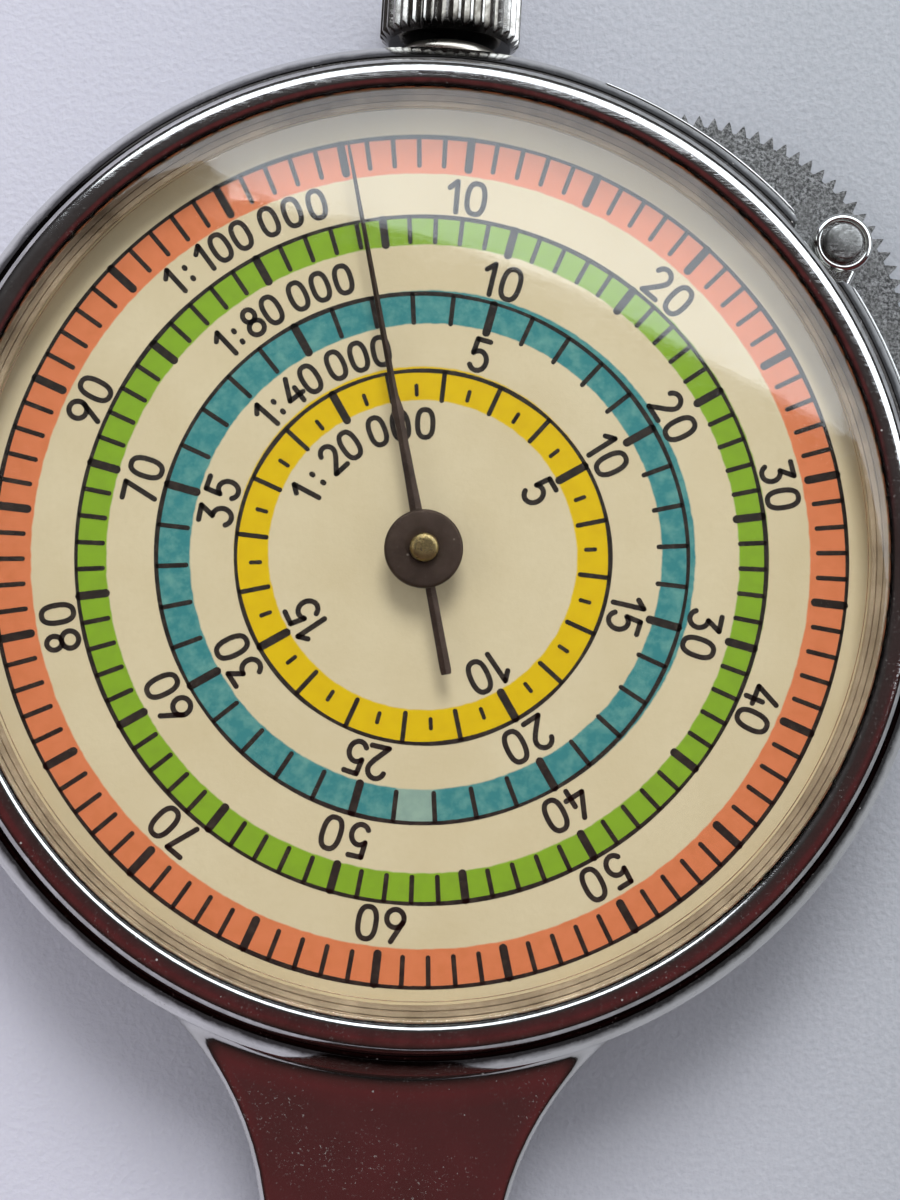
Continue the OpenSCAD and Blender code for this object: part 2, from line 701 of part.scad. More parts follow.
module stem_bearing_screws() color([0.5, 0.52, 0.58])
    bearing_screw_places()
        translate([0, 0, front_plate_top])
            screw(plate_head_r * 0.75, bearing_screw_r, front_plate_t + bearing_screw_depth);

module index_stud() color([0.74, 0.74, 0.76]) {
    seat_z = lug_z + lug_t - stud_seat;
    translate([lug_at.x, lug_at.y, 0]) rotate_extrude() polygon(concat(
        [[0, lug_z - 0.25], [stud_shank_r + 0.2, lug_z - 0.25], [stud_shank_r + 0.2, lug_z]],
        [[stud_shank_r, lug_z], [stud_shank_r, seat_z], [stud_head_r, seat_z]],
        arc([stud_head_r - 0.2, seat_z + stud_head_h - 0.2], 0.2, 0, 90, 4),
        [[0, seat_z + stud_head_h + 0.03]]));
}

// Disc with V teeth, thinner towards the rim
module tracing_wheel() color([0.34, 0.34, 0.34]) {
    step = 360 / trace_teeth;
    root_r = trace_r - trace_depth;
    bore = arbor_r + hub_wall;
    shoulder_r = trace_r - trace_bevel_w;
    outline = [for (t = [0 : trace_teeth - 1]) for (p = [[root_r, -0.5], [trace_r, 0]])
        p[0] * [cos((t + p[1]) * step), sin((t + p[1]) * step)]];
    translate([trace_at.x, trace_at.y, trace_mid]) intersection() {
        translate([0, 0, -trace_t / 2 - cut]) linear_extrude(trace_t + 2 * cut) polygon(outline);
        rotate_extrude($fn = 96) polygon([
            [bore, -trace_t / 2], [shoulder_r, -trace_t / 2], [trace_r + 0.1, -trace_rim_t / 2],
            [trace_r + 0.1, trace_rim_t / 2], [shoulder_r, trace_t / 2], [bore, trace_t / 2]]);
    }
}

module wheel_hub() color([0.82, 0.7, 0.4])
    translate([trace_at.x, trace_at.y, 0]) {
        translate([0, 0, trace_z]) ring(arbor_r + hub_wall, arbor_r, trace_t);
        translate([0, 0, trace_z - level_gap]) ring(arbor_r + hub_wall + hub_flange_w, arbor_r, level_gap);
    }

module wheel_arbor() color([0.6, 0.62, 0.65])
    translate(trace_at) arbor(arbor_r, pivot_r);

module wheel_pinion() color([0.82, 0.7, 0.4])
    translate([trace_at.x, trace_at.y, intermediate_z - 0.05]) rotate(first_angle)
        gear(wheel_pinion_teeth, first_module, gear_t + 0.1, arbor_r);

module intermediate_arbor() color([0.6, 0.62, 0.65])
    translate(intermediate_at) arbor(thin_arbor_r, thin_pivot_r);

module intermediate_collet() color([0.82, 0.7, 0.4])
    translate([intermediate_at.x, intermediate_at.y, 0]) {
        translate([0, 0, intermediate_z]) ring(thin_arbor_r + collet_wall, thin_arbor_r, gear_t);
        translate([0, 0, intermediate_top])
            ring(thin_arbor_r + collet_wall + collet_flange_w, thin_arbor_r, collet_flange_t);
    }

module intermediate_gear() color([0.85, 0.72, 0.42])
    translate([intermediate_at.x, intermediate_at.y, intermediate_z])
        rotate(first_angle + 180 + 180 / intermediate_teeth)
            gear(intermediate_teeth, first_module, gear_t, thin_arbor_r + collet_wall, 5);

module intermediate_pinion() color([0.82, 0.7, 0.4])
    translate([intermediate_at.x, intermediate_at.y, centre_gear_z]) rotate(intermediate_angle + 180)
        gear(intermediate_pinion_teeth, second_module, gear_t + 0.05, thin_arbor_r);

// Arbor of the pointer: pivot in the back plate, body, then the long end through the dial to its domed tip
module centre_arbor() color([0.62, 0.58, 0.44]) {
    low = back_plate_z - bush_proud;
    body_z = back_plate_top + bush_proud + fit_gap;
    body_top = front_plate_z - bush_proud - fit_gap;
    tip_z = hub_top + tip_rise;
    dome = 0.25;
    rotate_extrude() polygon([
        [0, low], [pivot_r, low], [pivot_r, body_z], [arbor_r, body_z], [arbor_r, body_top],
        [arbor_top_r, body_top], [arbor_top_r, tip_z - dome], [arbor_top_r * 0.87, tip_z - dome * 0.5],
        [arbor_top_r * 0.5, tip_z - dome * 0.13], [0, tip_z]]);
}

module centre_gear() color([0.85, 0.72, 0.42])
    translate([0, 0, centre_gear_z]) rotate(intermediate_angle + 180 / centre_teeth)
        gear(centre_teeth, second_module, gear_t, arbor_r + collet_wall, 6);

module centre_collet() color([0.82, 0.7, 0.4]) {
    translate([0, 0, centre_gear_z]) ring(arbor_r + collet_wall, arbor_r, gear_t);
    translate([0, 0, centre_gear_top])
        ring(arbor_r + collet_wall + collet_flange_w, arbor_r, collet_flange_t);
}

// Disc with teeth on its underside; each tooth is a short bar along the radius
module contrate_wheel() color([0.85, 0.72, 0.42]) {
    hub_h = 0.8;
    half = PI * contrate_module / 4 - backlash / 4;
    slope = tan(pressure);
    deep = contrate_z - contrate_pitch_z + contrate_t / 2;
    high = contrate_pitch_z - contrate_tip_z;
    translate([0, 0, contrate_z]) ring(contrate_r + contrate_face / 2, arbor_r, contrate_t);
    translate([0, 0, contrate_z - hub_h]) ring(arbor_r + 0.7, arbor_r, hub_h);
    for (t = [0 : contrate_teeth - 1])
        rotate(90 + (t + 0.5) * 360 / contrate_teeth)
            translate([contrate_r + contrate_face / 2, 0, contrate_pitch_z]) rotate([0, -90, 0])
                linear_extrude(contrate_face) polygon([
                    [-high, -(half - high * slope)], [-high, half - high * slope],
                    [deep, half + deep * slope], [deep, -(half + deep * slope)]]);
}

module pointer_hub() color([0.25, 0.22, 0.2]) {
    translate([0, 0, hub_z]) rotate_extrude() polygon(concat(
        [[arbor_top_r, 0], [hub_r, 0]],
        arc([hub_r - 0.12, hub_t - 0.12], 0.12, 0, 90, 4),
        [[arbor_top_r, hub_t]]));
}

// Needle with a small swelling, a long thin taper and a tail that widens to its end
module pointer_needle() color([0.25, 0.22, 0.2]) {
    swell_len = 0.5;
    tip_len = 0.3;
    root = [[0, root_half], [swell_at - swell_len, needle_half]];
    swell = [[swell_at, swell_half], [swell_at + 1.2 * swell_len, taper_half]];
    point = [[needle_len - tip_len, taper_half / 2], [needle_len, tip_half]];
    tail = [[-tail_len, tail_half], [-arbor_top_r, needle_half]];
    side = concat(tail, root, swell, point);
    mirrored = [for (i = [len(side) - 1 : -1 : 0]) [side[i].x, -side[i].y]];
    translate([0, 0, needle_z]) rotate(pointer_angle) difference() {
        union() {
            linear_extrude(needle_t) polygon(concat(side, mirrored));
            cylinder(r = hub_r * 0.75, h = needle_t);
        }
        translate([0, 0, -cut]) cylinder(r = arbor_top_r, h = needle_t + 2 * cut);
    }
}

module crown() color([0.78, 0.78, 0.8]) {
    step = 360 / crown_flutes;
    root = crown_r - flute_depth;
    flute = [[root, -0.5], [crown_r, -0.16], [crown_r, 0.16]];
    outline = [for (t = [0 : crown_flutes - 1]) for (p = flute)
        p[0] * [cos((t + p[1]) * step), sin((t + p[1]) * step)]];
    on_stem(crown_y) difference() {
        intersection() {
            translate([0, 0, -cut]) linear_extrude(crown_len + 2 * cut) polygon(outline);
            rotate_extrude() polygon([
                [0, 0], [crown_r - crown_edge, 0], [crown_r + fit_gap, crown_edge],
                [crown_r + fit_gap, crown_len - crown_dome - crown_edge],
                [crown_r - crown_edge, crown_len - crown_dome],
                [crown_r * 0.6, crown_len - crown_dome * 0.35], [0, crown_len]]);
        }
        translate([0, 0, -cut]) cylinder(r = stem_r, h = stem_grip + cut);
    }
}

module crown_stem() color([0.6, 0.62, 0.65])
    on_stem(stem_in_y) cylinder(r = stem_r, h = crown_y + stem_grip - stem_in_y);

module stem_pinion() color([0.6, 0.62, 0.65])
    on_stem(contrate_r - contrate_face / 2) rotate(-90)
        gear(stem_pinion_teeth, contrate_module, contrate_face, stem_r);

module stem_collar() color([0.6, 0.62, 0.65])
    on_stem(tube_flange_y - tube_flange_t - fit_gap - collar_t) ring(stem_r + 0.6, stem_r, collar_t);

case_body();
back_cover();
bezel();
crystal();
rehaut_ring();
dial_plate();
dial_card();
dial_feet();
front_plate();
back_plate();
pillars();
front_plate_screws();
back_plate_screws();
case_screws();
wheel_bushes();
intermediate_bushes();
centre_bushes();
crown_tube();
stem_bearing();
stem_bearing_screws();
index_stud();
tracing_wheel();
wheel_hub();
wheel_arbor();
wheel_pinion();
intermediate_arbor();
intermediate_collet();
intermediate_gear();
intermediate_pinion();
centre_arbor();
centre_gear();
centre_collet();
contrate_wheel();
pointer_hub();
pointer_needle();
crown();
crown_stem();
stem_pinion();
stem_collar();
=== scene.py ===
import math

import bmesh
import bpy
import numpy as np
from mathutils import Matrix, Vector


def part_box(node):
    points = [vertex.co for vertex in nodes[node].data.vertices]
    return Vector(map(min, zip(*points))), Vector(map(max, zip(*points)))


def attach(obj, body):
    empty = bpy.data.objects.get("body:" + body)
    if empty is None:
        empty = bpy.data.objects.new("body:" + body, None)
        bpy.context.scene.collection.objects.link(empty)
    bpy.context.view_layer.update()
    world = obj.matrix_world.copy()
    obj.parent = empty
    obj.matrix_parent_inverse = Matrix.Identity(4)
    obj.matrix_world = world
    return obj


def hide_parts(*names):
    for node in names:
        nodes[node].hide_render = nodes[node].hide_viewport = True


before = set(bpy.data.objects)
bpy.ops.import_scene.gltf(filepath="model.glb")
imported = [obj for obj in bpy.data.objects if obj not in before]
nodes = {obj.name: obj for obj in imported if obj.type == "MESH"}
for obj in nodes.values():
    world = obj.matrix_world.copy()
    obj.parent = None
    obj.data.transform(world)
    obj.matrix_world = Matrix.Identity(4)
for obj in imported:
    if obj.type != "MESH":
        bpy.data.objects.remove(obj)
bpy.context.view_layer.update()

# The case: one stamped and plated brass shell with the band and its raised rim, the flat handle with its
# lanyard hole and the round lug over the tracing wheel. All of it is polished, and worn by years of handling.
MM = 0.001
CASE_R = 21.0
CASE_IN = 19.8
BAND_LOW = 0.9
BAND_WIDE = 3.88
BAND_TAPER = 0.5
EDGE_R = 0.5
EDGE_Z = 7.83
SLOPE_AT = (15.836, 4.915)
SLOPE_R = 6.0
RIM_AT = (20.12, 8.705)
RIM_R = 0.28
SHOULDER_Z = 7.53
NECK_R = 19.45
NECK_IN = 18.95
REHAUT_TOP = 8.85
LEDGE_R = 18.2
LEDGE_Z = 6.58
LEDGE_TOP = 6.98
TRACE_AT = (10.417, 9.68)
SLOT_R = 10.96
SLOT_TOP = 3.9
GROOVE_R = 20.1
LIP_R = 20.94
LIP_Z = 8.22
LIP_EDGE = 0.07
LIP_IN = GROOVE_R + 0.04
LIP_BEND = 2.8
NOTCH_FROM = 36.7
NOTCH_TO = 44.3
NOTCH_R = 20.0


def surface(name, grids, sharp=33.0):
    """One mesh from grids of points in millimetres. Each cell of a grid is a face; a grid says whether its
    rows or its columns join up, and may leave cells out. Meeting points merge and faces turn outwards."""
    places, faces, start = [], [], 0
    for points, ring_u, ring_v, keep in grids:
        index = np.arange(points.shape[0] * points.shape[1]).reshape(points.shape[:2]) + start
        start += index.size
        index = np.vstack([index, index[:1]]) if ring_u else index
        index = np.hstack([index, index[:, :1]]) if ring_v else index
        cells = np.stack([index[:-1, :-1], index[1:, :-1], index[1:, 1:], index[:-1, 1:]], axis=-1)
        faces.append(cells[keep] if keep is not None else cells.reshape(-1, 4))
        places.append(points.reshape(-1, 3))
    mesh = bpy.data.meshes.new(name)
    mesh.from_pydata((np.vstack(places) * MM).tolist(), [], np.vstack(faces).tolist())
    shell = bmesh.new()
    shell.from_mesh(mesh)
    bmesh.ops.remove_doubles(shell, verts=shell.verts, dist=2e-7)
    bmesh.ops.dissolve_degenerate(shell, edges=shell.edges, dist=1e-7)
    bmesh.ops.recalc_face_normals(shell, faces=shell.faces)
    shell.to_mesh(mesh)
    shell.free()
    mesh.shade_smooth()
    mesh.set_sharp_from_angle(angle=math.radians(sharp))
    piece = bpy.data.objects.new(name, mesh)
    bpy.context.scene.collection.objects.link(piece)
    return piece


def arc(centre, radius, start, end, count=8):
    """Points (r, z) on a circle about a centre, from one angle in degrees to another."""
    angle = np.radians(np.linspace(start, end, count))
    return np.stack([centre[0] + radius * np.cos(angle), centre[1] + radius * np.sin(angle)], axis=1)


def turned(profile, centre=(0, 0), columns=256):
    """A closed profile of (r, z) points carried round an upright axis: x and y are r times the cosine and
    sine of the turn. A profile that begins and ends on the axis closes there."""
    profile = np.asarray(profile, float)
    turn = np.linspace(0, 2 * np.pi, columns, endpoint=False)[:, None]
    r, z = profile[None, :, 0], profile[None, :, 1]
    points = np.stack([centre[0] + r * np.cos(turn), centre[1] + r * np.sin(turn), z + 0 * turn], axis=-1)
    return (points, True, not (profile[0, 0] == 0 and profile[-1, 0] == 0), None)


def case_band():
    """The band's closed profile of (r, z) goes round the dial: a wall, a rounded rim, a groove for the bezel
    and the neck. Over the slot the rim ends in a sharp lip and z is held above the slot's top. Over the notch
    r is held inside the notch and z under the groove, and on both sides of it the lip bends inwards on a
    quarter circle. Columns at the slot's ends follow its round edge."""
    low = np.linspace(BAND_LOW, BAND_WIDE, 10)
    wall = np.stack([CASE_R - BAND_TAPER * ((BAND_WIDE - low) / (BAND_WIDE - BAND_LOW)) ** 1.9, low], axis=1)
    rounded = arc((CASE_R - EDGE_R, EDGE_Z), EDGE_R, 0, 32, 8)
    slope = arc(SLOPE_AT, SLOPE_R, 34.5, 41.5, 7)
    rim = arc(RIM_AT, RIM_R, 44, 90, 8)
    inside = [
        [GROOVE_R, rim[-1, 1] - 0.03], [GROOVE_R, SHOULDER_Z], [NECK_R, SHOULDER_Z], [NECK_R, REHAUT_TOP],
        [NECK_IN, REHAUT_TOP], [NECK_IN, LEDGE_TOP], [LEDGE_R, LEDGE_TOP], [LEDGE_R, LEDGE_Z],
        [CASE_IN, LEDGE_Z], [CASE_IN, BAND_LOW],
    ]
    profile = np.vstack([wall, [[CASE_R, 4.6], [CASE_R, 6.2]], rounded, slope, rim, inside])
    lip = profile.copy()
    edge_from = len(wall) + 2
    lip[edge_from:edge_from + len(rounded)] = arc((LIP_R - LIP_EDGE, LIP_Z), LIP_EDGE, 0, 110, len(rounded))
    lip[:, 0] = np.minimum(lip[:, 0], LIP_R)
    away = math.hypot(*TRACE_AT)
    middle = math.degrees(math.atan2(TRACE_AT[1], TRACE_AT[0]))
    r = profile[:, 0][None, :]
    reach = np.degrees(np.arccos((r ** 2 + away ** 2 - SLOT_R ** 2) / (2 * r * away)))
    ends = [
        (middle + reach, middle + 360 - reach, 560, False, False),
        (middle - reach, NOTCH_FROM + 0 * r, 50, True, False),
        (NOTCH_FROM + 0 * r, NOTCH_TO + 0 * r, 24, True, True),
        (NOTCH_TO + 0 * r, middle + reach, 46, True, False),
    ]
    rows = []
    for first, last, count, slotted, notched in ends:
        part = np.linspace(0, 1, count)[:, None]
        turn = np.radians(first + (last - first) * part)
        radius, z = (lip if slotted else profile).T
        z = np.maximum(z, SLOT_TOP) if slotted else z
        if slotted and not notched:
            angle = np.degrees(turn)
            past_notch = np.minimum(np.abs(angle - NOTCH_FROM), np.abs(angle - NOTCH_TO)) / LIP_BEND
            bend = np.sqrt(1 - (1 - np.clip(past_notch, 0, 1)) ** 2)
            radius = np.minimum(radius, LIP_IN + (LIP_R - LIP_IN) * bend)
        if notched:
            z = np.where(radius > NOTCH_R, np.minimum(z, SHOULDER_Z), z)
            radius = np.minimum(radius, NOTCH_R)
        rows.append(np.stack([radius * np.cos(turn), radius * np.sin(turn), z + 0 * turn], axis=-1))
    return (np.vstack(rows), True, True, None)


FILLET = 1.2
HANDLE_MID = 4.2
HANDLE_HALF = 1.2
HANDLE_EDGE = 0.6
WAIST_HALF = 4.8
FLARE_R = 13.0
FLARE_AT = (17.8, -28.97)
HANDLE_END = -60.0
END_R = 6.2
HOLE_R = 1.75
FAN_RUN = 7.5
ROUND_TO = 27.0
ROUND_RUN = 5.0


def handle():
    """Half of the outline runs from the case down a hollow curve to the waist, swells by a smooth step and
    goes round the end. Each point of it pairs with one on the middle line or the lanyard hole, and the rows
    between them carry a flat face with rolled edges. Near the case the face rises in a round fillet."""
    far = math.hypot(*FLARE_AT)
    toward = math.atan2(FLARE_AT[1], -FLARE_AT[0])
    ring = np.array([
        20.3, 20.98, 21.0, 21.02, 21.06, 21.12, 21.2, 21.3, 21.4, 21.5, 21.6, 21.8, 22.1, 22.5, 23, 23.6,
        24.3, 25.1, 26, 27, 28, 28.9,
    ])
    on_flare = np.arccos(np.clip((ring ** 2 - far ** 2 - FLARE_R ** 2) / (2 * far * FLARE_R), -1, 1))
    flare_x = -FLARE_AT[0] + FLARE_R * np.cos(toward + on_flare)
    flare_y = FLARE_AT[1] + FLARE_R * np.sin(toward + on_flare)
    inside = ring < CASE_R
    flare_x[inside] *= ring[inside] / CASE_R
    flare_y[inside] *= ring[inside] / CASE_R
    step = np.linspace(0, 1, 30)[1:]
    swell_y = FLARE_AT[1] + (HANDLE_END - FLARE_AT[1]) * step
    swell_x = -(WAIST_HALF + (END_R - WAIST_HALF) * step ** 2 * (3 - 2 * step))
    bend = np.radians(np.linspace(180, 270, 20)[1:])
    side = np.vstack([
        np.stack([flare_x, flare_y], axis=1),
        [[-WAIST_HALF, FLARE_AT[1]]],
        np.stack([swell_x, swell_y], axis=1),
        np.stack([END_R * np.cos(bend), HANDLE_END + END_R * np.sin(bend)], axis=1),
    ])
    hole_from = HANDLE_END + FAN_RUN
    along = side[:, 1]
    round_hole = np.clip((hole_from - along) / (hole_from - HANDLE_END), 0, 1) * 90
    last = np.arange(len(side)) >= len(side) - len(bend)
    round_hole[last] = 90 + 90 * np.arange(1, len(bend) + 1) / len(bend)
    down = np.clip((FLARE_AT[1] - along) / (FLARE_AT[1] - hole_from), 0, 1)
    middle_y = FLARE_AT[1] + down * (HANDLE_END + HOLE_R - FLARE_AT[1])
    middle_y[:len(ring)] = -ring
    hole = np.radians(90 + round_hole)
    inner = np.stack([HOLE_R * np.cos(hole), HANDLE_END + HOLE_R * np.sin(hole)], axis=1)
    plain = round_hole == 0
    inner[plain] = np.stack([0 * middle_y, middle_y], axis=1)[plain]
    tangent = np.gradient(side, axis=0)
    tangent /= np.linalg.norm(tangent, axis=1)[:, None]
    normal = np.stack([-tangent[:, 1], tangent[:, 0]], axis=1)
    roll = np.radians(np.linspace(90, 0, 8))
    inset = HANDLE_EDGE * (1 - np.cos(roll))
    half = HANDLE_HALF - HANDLE_EDGE * (1 - np.sin(roll))
    edge = side[:, None] + inset[None, :, None] * normal[:, None]
    rim = edge[:, 0]
    polar = np.hypot(rim[:, 0], rim[:, 1])
    turn = np.arctan2(rim[:, 1], rim[:, 0])
    part = np.linspace(1, 0, 26)[-2::-1]
    straight = inner[:, None] + (rim - inner)[:, None] * part[None, :, None]
    radius = (-inner[:, 1])[:, None] + (polar + inner[:, 1])[:, None] * part
    angle = -np.pi / 2 + (turn + np.pi / 2)[:, None] * part
    curved = np.stack([radius * np.cos(angle), radius * np.sin(angle)], axis=-1)
    weight = np.clip((ROUND_TO - np.abs(inner[:, 1])) / ROUND_RUN, 0, 1)
    weight = (weight ** 2 * (3 - 2 * weight))[:, None, None]
    face = straight + (curved - straight) * weight
    # Each row goes across the top from the middle outwards, down the rolled edge and back along the bottom
    across = np.concatenate([inner[:, None], face, edge], axis=1)
    height = np.concatenate([np.full(face.shape[1] + 1, HANDLE_HALF), half])
    r = np.hypot(across[..., 0], across[..., 1])
    lift = np.clip(CASE_R + FILLET - r, 0, FILLET)
    lift = FILLET - np.sqrt(np.maximum(FILLET ** 2 - lift ** 2, 0))
    top = np.concatenate([across, (HANDLE_MID + height + lift * height / HANDLE_HALF)[..., None]], axis=-1)
    bottom = np.concatenate([across, (HANDLE_MID - height + 0 * r)[..., None]], axis=-1)[:, ::-1]
    left = np.concatenate([top, bottom], axis=1)
    right = left[::-1] * [-1, 1, 1]
    points = np.concatenate([left, right[1:]], axis=0)
    keep = np.ones((len(points) - 1, points.shape[1]), bool)
    on_line = np.concatenate([plain, plain[::-1][1:]])
    keep[:, -1] = ~(on_line[:-1] & on_line[1:])
    return (points, False, True, keep)


LUG_AT = (16.853, 14.141)
LUG_Z = 5.65
LUG_TOP = 7.15
LUG_BORE = 0.45
STUD_SEAT = LUG_TOP - 0.25
WEB_TURN = math.radians(37)
WEB_FROM = 20.0


def lug_eye():
    """The lug's ring: a closed profile with a rounded rim and a sunk seat for the stud, turned about its
    hole."""
    return turned(np.vstack([
        [[LUG_BORE, LUG_Z]],
        arc((1.13, LUG_Z + 0.12), 0.12, -90, 0, 5),
        arc((1.07, LUG_TOP - 0.18), 0.18, 0, 90, 7),
        arc((1.03, LUG_TOP - 0.06), 0.06, 90, 180, 4),
        [[0.96, STUD_SEAT], [LUG_BORE, STUD_SEAT]],
    ]), LUG_AT, 96)


def pinched(row):
    """A row of points drawn together at its middle, which closes an end."""
    return row * 0 + row.mean(axis=1, keepdims=True)


def lug_web():
    """A bar with rounded edges from the band to the lug's ring: its outline carried along a straight line,
    and closed to a point inside the ring."""
    root = np.array([WEB_FROM * math.cos(WEB_TURN), WEB_FROM * math.sin(WEB_TURN)])
    run = np.array(LUG_AT) - root
    ahead = run / np.linalg.norm(run)
    beside = np.array([-ahead[1], ahead[0]])
    corner = np.vstack([
        arc((0.55, LUG_TOP - 0.4), 0.25, 0, 90, 5), arc((-0.8, LUG_TOP - 0.4), 0.25, 90, 180, 5),
        arc((-0.9, LUG_Z + 0.3), 0.15, 180, 270, 4), arc((0.65, LUG_Z + 0.3), 0.15, 270, 360, 4),
    ])
    ends = np.array([0.0, 1.0, 1.05])
    size = np.array([1.0, 1.0, 0.0])
    middle = np.array([0, (LUG_Z + LUG_TOP) / 2])
    outline = middle + (corner - middle)[None] * size[:, None, None]
    flat = root + ahead * (np.linalg.norm(run) - 0.9) * ends[:, None]
    points = flat[:, None, :] + outline[..., :1] * beside
    points = np.concatenate([points, outline[..., 1:]], axis=-1)
    return (np.concatenate([pinched(points[:1]), points], axis=0), False, True, None)


def put(tree, kind, inputs=(), **settings):
    """Adds a node: settings are its options, and inputs gives its sockets a value or a link by name."""
    node = tree.nodes.new("ShaderNode" + kind)
    for name, value in settings.items():
        setattr(node, name, value)
    for name, value in dict(inputs).items():
        if isinstance(value, bpy.types.NodeSocket):
            tree.links.new(value, node.inputs[name])
        else:
            node.inputs[name].default_value = value
    return node


def calc(tree, operation, first, second=0.0):
    """The result of one sum on numbers or sockets."""
    return put(tree, "Math", {0: first, 1: second}, operation=operation).outputs[0]


def between(tree, value, low, high, to_low=0.0, to_high=1.0):
    """A value brought from one range to another and held inside it."""
    spread = {"Value": value, "From Min": low, "From Max": high, "To Min": to_low, "To Max": to_high}
    return put(tree, "MapRange", spread).outputs[0]


def mixed(tree, share, first, second):
    """Two colours mixed by a share."""
    return put(tree, "Mix", {0: share, 6: first, 7: second}, data_type="RGBA").outputs[2]


def millimetres(tree, shift=(0, 0, 0)):
    """Object coordinates in millimetres, so a texture's scale is its number of features in a millimetre."""
    where = put(tree, "TexCoord").outputs["Object"]
    return put(tree, "Mapping", {"Vector": where, "Scale": (1000, 1000, 1000), "Location": shift}).outputs[0]


def noise(tree, vector, scale, detail, rough=0.5):
    """Noise about 0.5 with its scale, its steps of detail and how strongly they show."""
    inputs = {"Vector": vector, "Scale": scale, "Detail": detail, "Roughness": rough}
    return put(tree, "TexNoise", inputs).outputs[0]


def off_axis(tree, place):
    """How far a place is from the upright axis."""
    flat = put(tree, "VectorMath", {0: place, 1: (1, 1, 0)}, operation="MULTIPLY").outputs[0]
    return put(tree, "VectorMath", {0: flat}, operation="LENGTH").outputs["Value"]


def shade(red, green, blue):
    """A colour as seen on a screen, 0 to 255, turned into light values."""
    part = np.array([red, green, blue]) / 255
    light = np.where(part <= 0.04045, part / 12.92, ((part + 0.055) / 1.055) ** 2.4)
    return (*light.tolist(), 1.0)


def new_group(name, inputs, outputs):
    """An empty node group with named inputs and outputs and their kinds."""
    tree = bpy.data.node_groups.new(name, "ShaderNodeTree")
    for label, kind, value in inputs:
        socket = tree.interface.new_socket(label, in_out="INPUT", socket_type="NodeSocket" + kind)
        if value is not None:
            socket.default_value = value
    for label, kind in outputs:
        tree.interface.new_socket(label, in_out="OUTPUT", socket_type="NodeSocket" + kind)
    return tree, tree.nodes.new("NodeGroupInput").outputs, tree.nodes.new("NodeGroupOutput").inputs


def make_handling():
    """Years of handling on metal as masks and a height: patches of haze, hairlines in three directions and
    specks of dust."""
    tree, given, out = new_group(
        "handling",
        [("Vector", "Vector", None), ("Haze size", "Float", 0.4), ("Hairlines", "Float", 1.0),
         ("Dust", "Float", 1.0)],
        [("Haze", "Float"), ("Hairline", "Float"), ("Speck", "Float"), ("Height", "Float")],
    )
    haze = noise(tree, given["Vector"], given["Haze size"], 6.0, 0.62)
    lines = None
    for turn, stretch in ((0.5, (0.12, 3.1, 1)), (2.1, (0.16, 2.3, 1)), (1.35, (0.1, 4.0, 1))):
        inputs = {"Vector": given["Vector"], "Rotation": (0.3, 0.2, turn), "Scale": stretch}
        hair = noise(tree, put(tree, "Mapping", inputs).outputs[0], 1.0, 3.0, 0.7)
        off = calc(tree, "ABSOLUTE", calc(tree, "SUBTRACT", hair, 0.5))
        line = between(tree, off, 0.0, 0.0035, 1.0, 0.0)
        lines = line if lines is None else calc(tree, "MAXIMUM", lines, line)
    lines = calc(tree, "MULTIPLY", lines, given["Hairlines"])
    cells = put(tree, "TexVoronoi", {"Vector": given["Vector"], "Scale": 1.6, "Randomness": 1.0})
    near = between(tree, cells.outputs["Distance"], 0.05, 0.09, 1.0, 0.0)
    few = put(tree, "SeparateColor", {"Color": cells.outputs["Color"]}).outputs[0]
    fine = noise(tree, given["Vector"], 8.0, 5.0, 0.7)
    drift = noise(tree, given["Vector"], 0.45, 4.0, 0.65)
    drift = between(tree, drift, 0.44, 0.64, 0.05, 0.6)
    fine = calc(tree, "MULTIPLY", between(tree, fine, 0.6, 0.68), drift)
    speck = calc(tree, "MAXIMUM", calc(tree, "MULTIPLY", near, between(tree, few, 0.78, 0.8)), fine)
    speck = calc(tree, "MULTIPLY", speck, given["Dust"])
    tree.links.new(between(tree, haze, 0.35, 0.7), out["Haze"])
    tree.links.new(lines, out["Hairline"])
    tree.links.new(speck, out["Speck"])
    height = calc(tree, "SUBTRACT", calc(tree, "MULTIPLY", haze, 0.25), calc(tree, "MULTIPLY", lines, 0.5))
    tree.links.new(calc(tree, "ADD", height, calc(tree, "MULTIPLY", speck, 0.8)), out["Height"])
    return tree


HANDLING = make_handling()


def worn(tree, vector, haze_size=0.4, hairlines=1.0, dust=1.0):
    """The handling group placed in a material with its own values."""
    node = put(tree, "Group", node_tree=HANDLING)
    tree.links.new(vector, node.inputs["Vector"])
    node.inputs["Haze size"].default_value = haze_size
    node.inputs["Hairlines"].default_value = hairlines
    node.inputs["Dust"].default_value = dust
    return node.outputs


def blank(name):
    """A new material with an empty tree: the tree and its output's surface socket."""
    material = bpy.data.materials.new(name)
    material.use_nodes = True
    tree = material.node_tree
    tree.nodes.clear()
    return material, tree, put(tree, "OutputMaterial").inputs["Surface"]


def bumped(tree, height, depth):
    """A normal from a height of up to a tenth of a millimetre, with its strength."""
    return put(tree, "Bump", {"Height": height, "Strength": depth, "Distance": 0.1 * MM}).outputs[0]


def shaded(tree, surface_out, inputs):
    """The material's Principled BSDF with its inputs, linked to the surface."""
    tree.links.new(put(tree, "BsdfPrincipled", inputs).outputs[0], surface_out)


DUST = (0.5, 0.48, 0.46, 1)
# Near black, the colour of painted shade in gaps and hollows
SHADE_DARK = (0.025, 0.022, 0.02, 1)


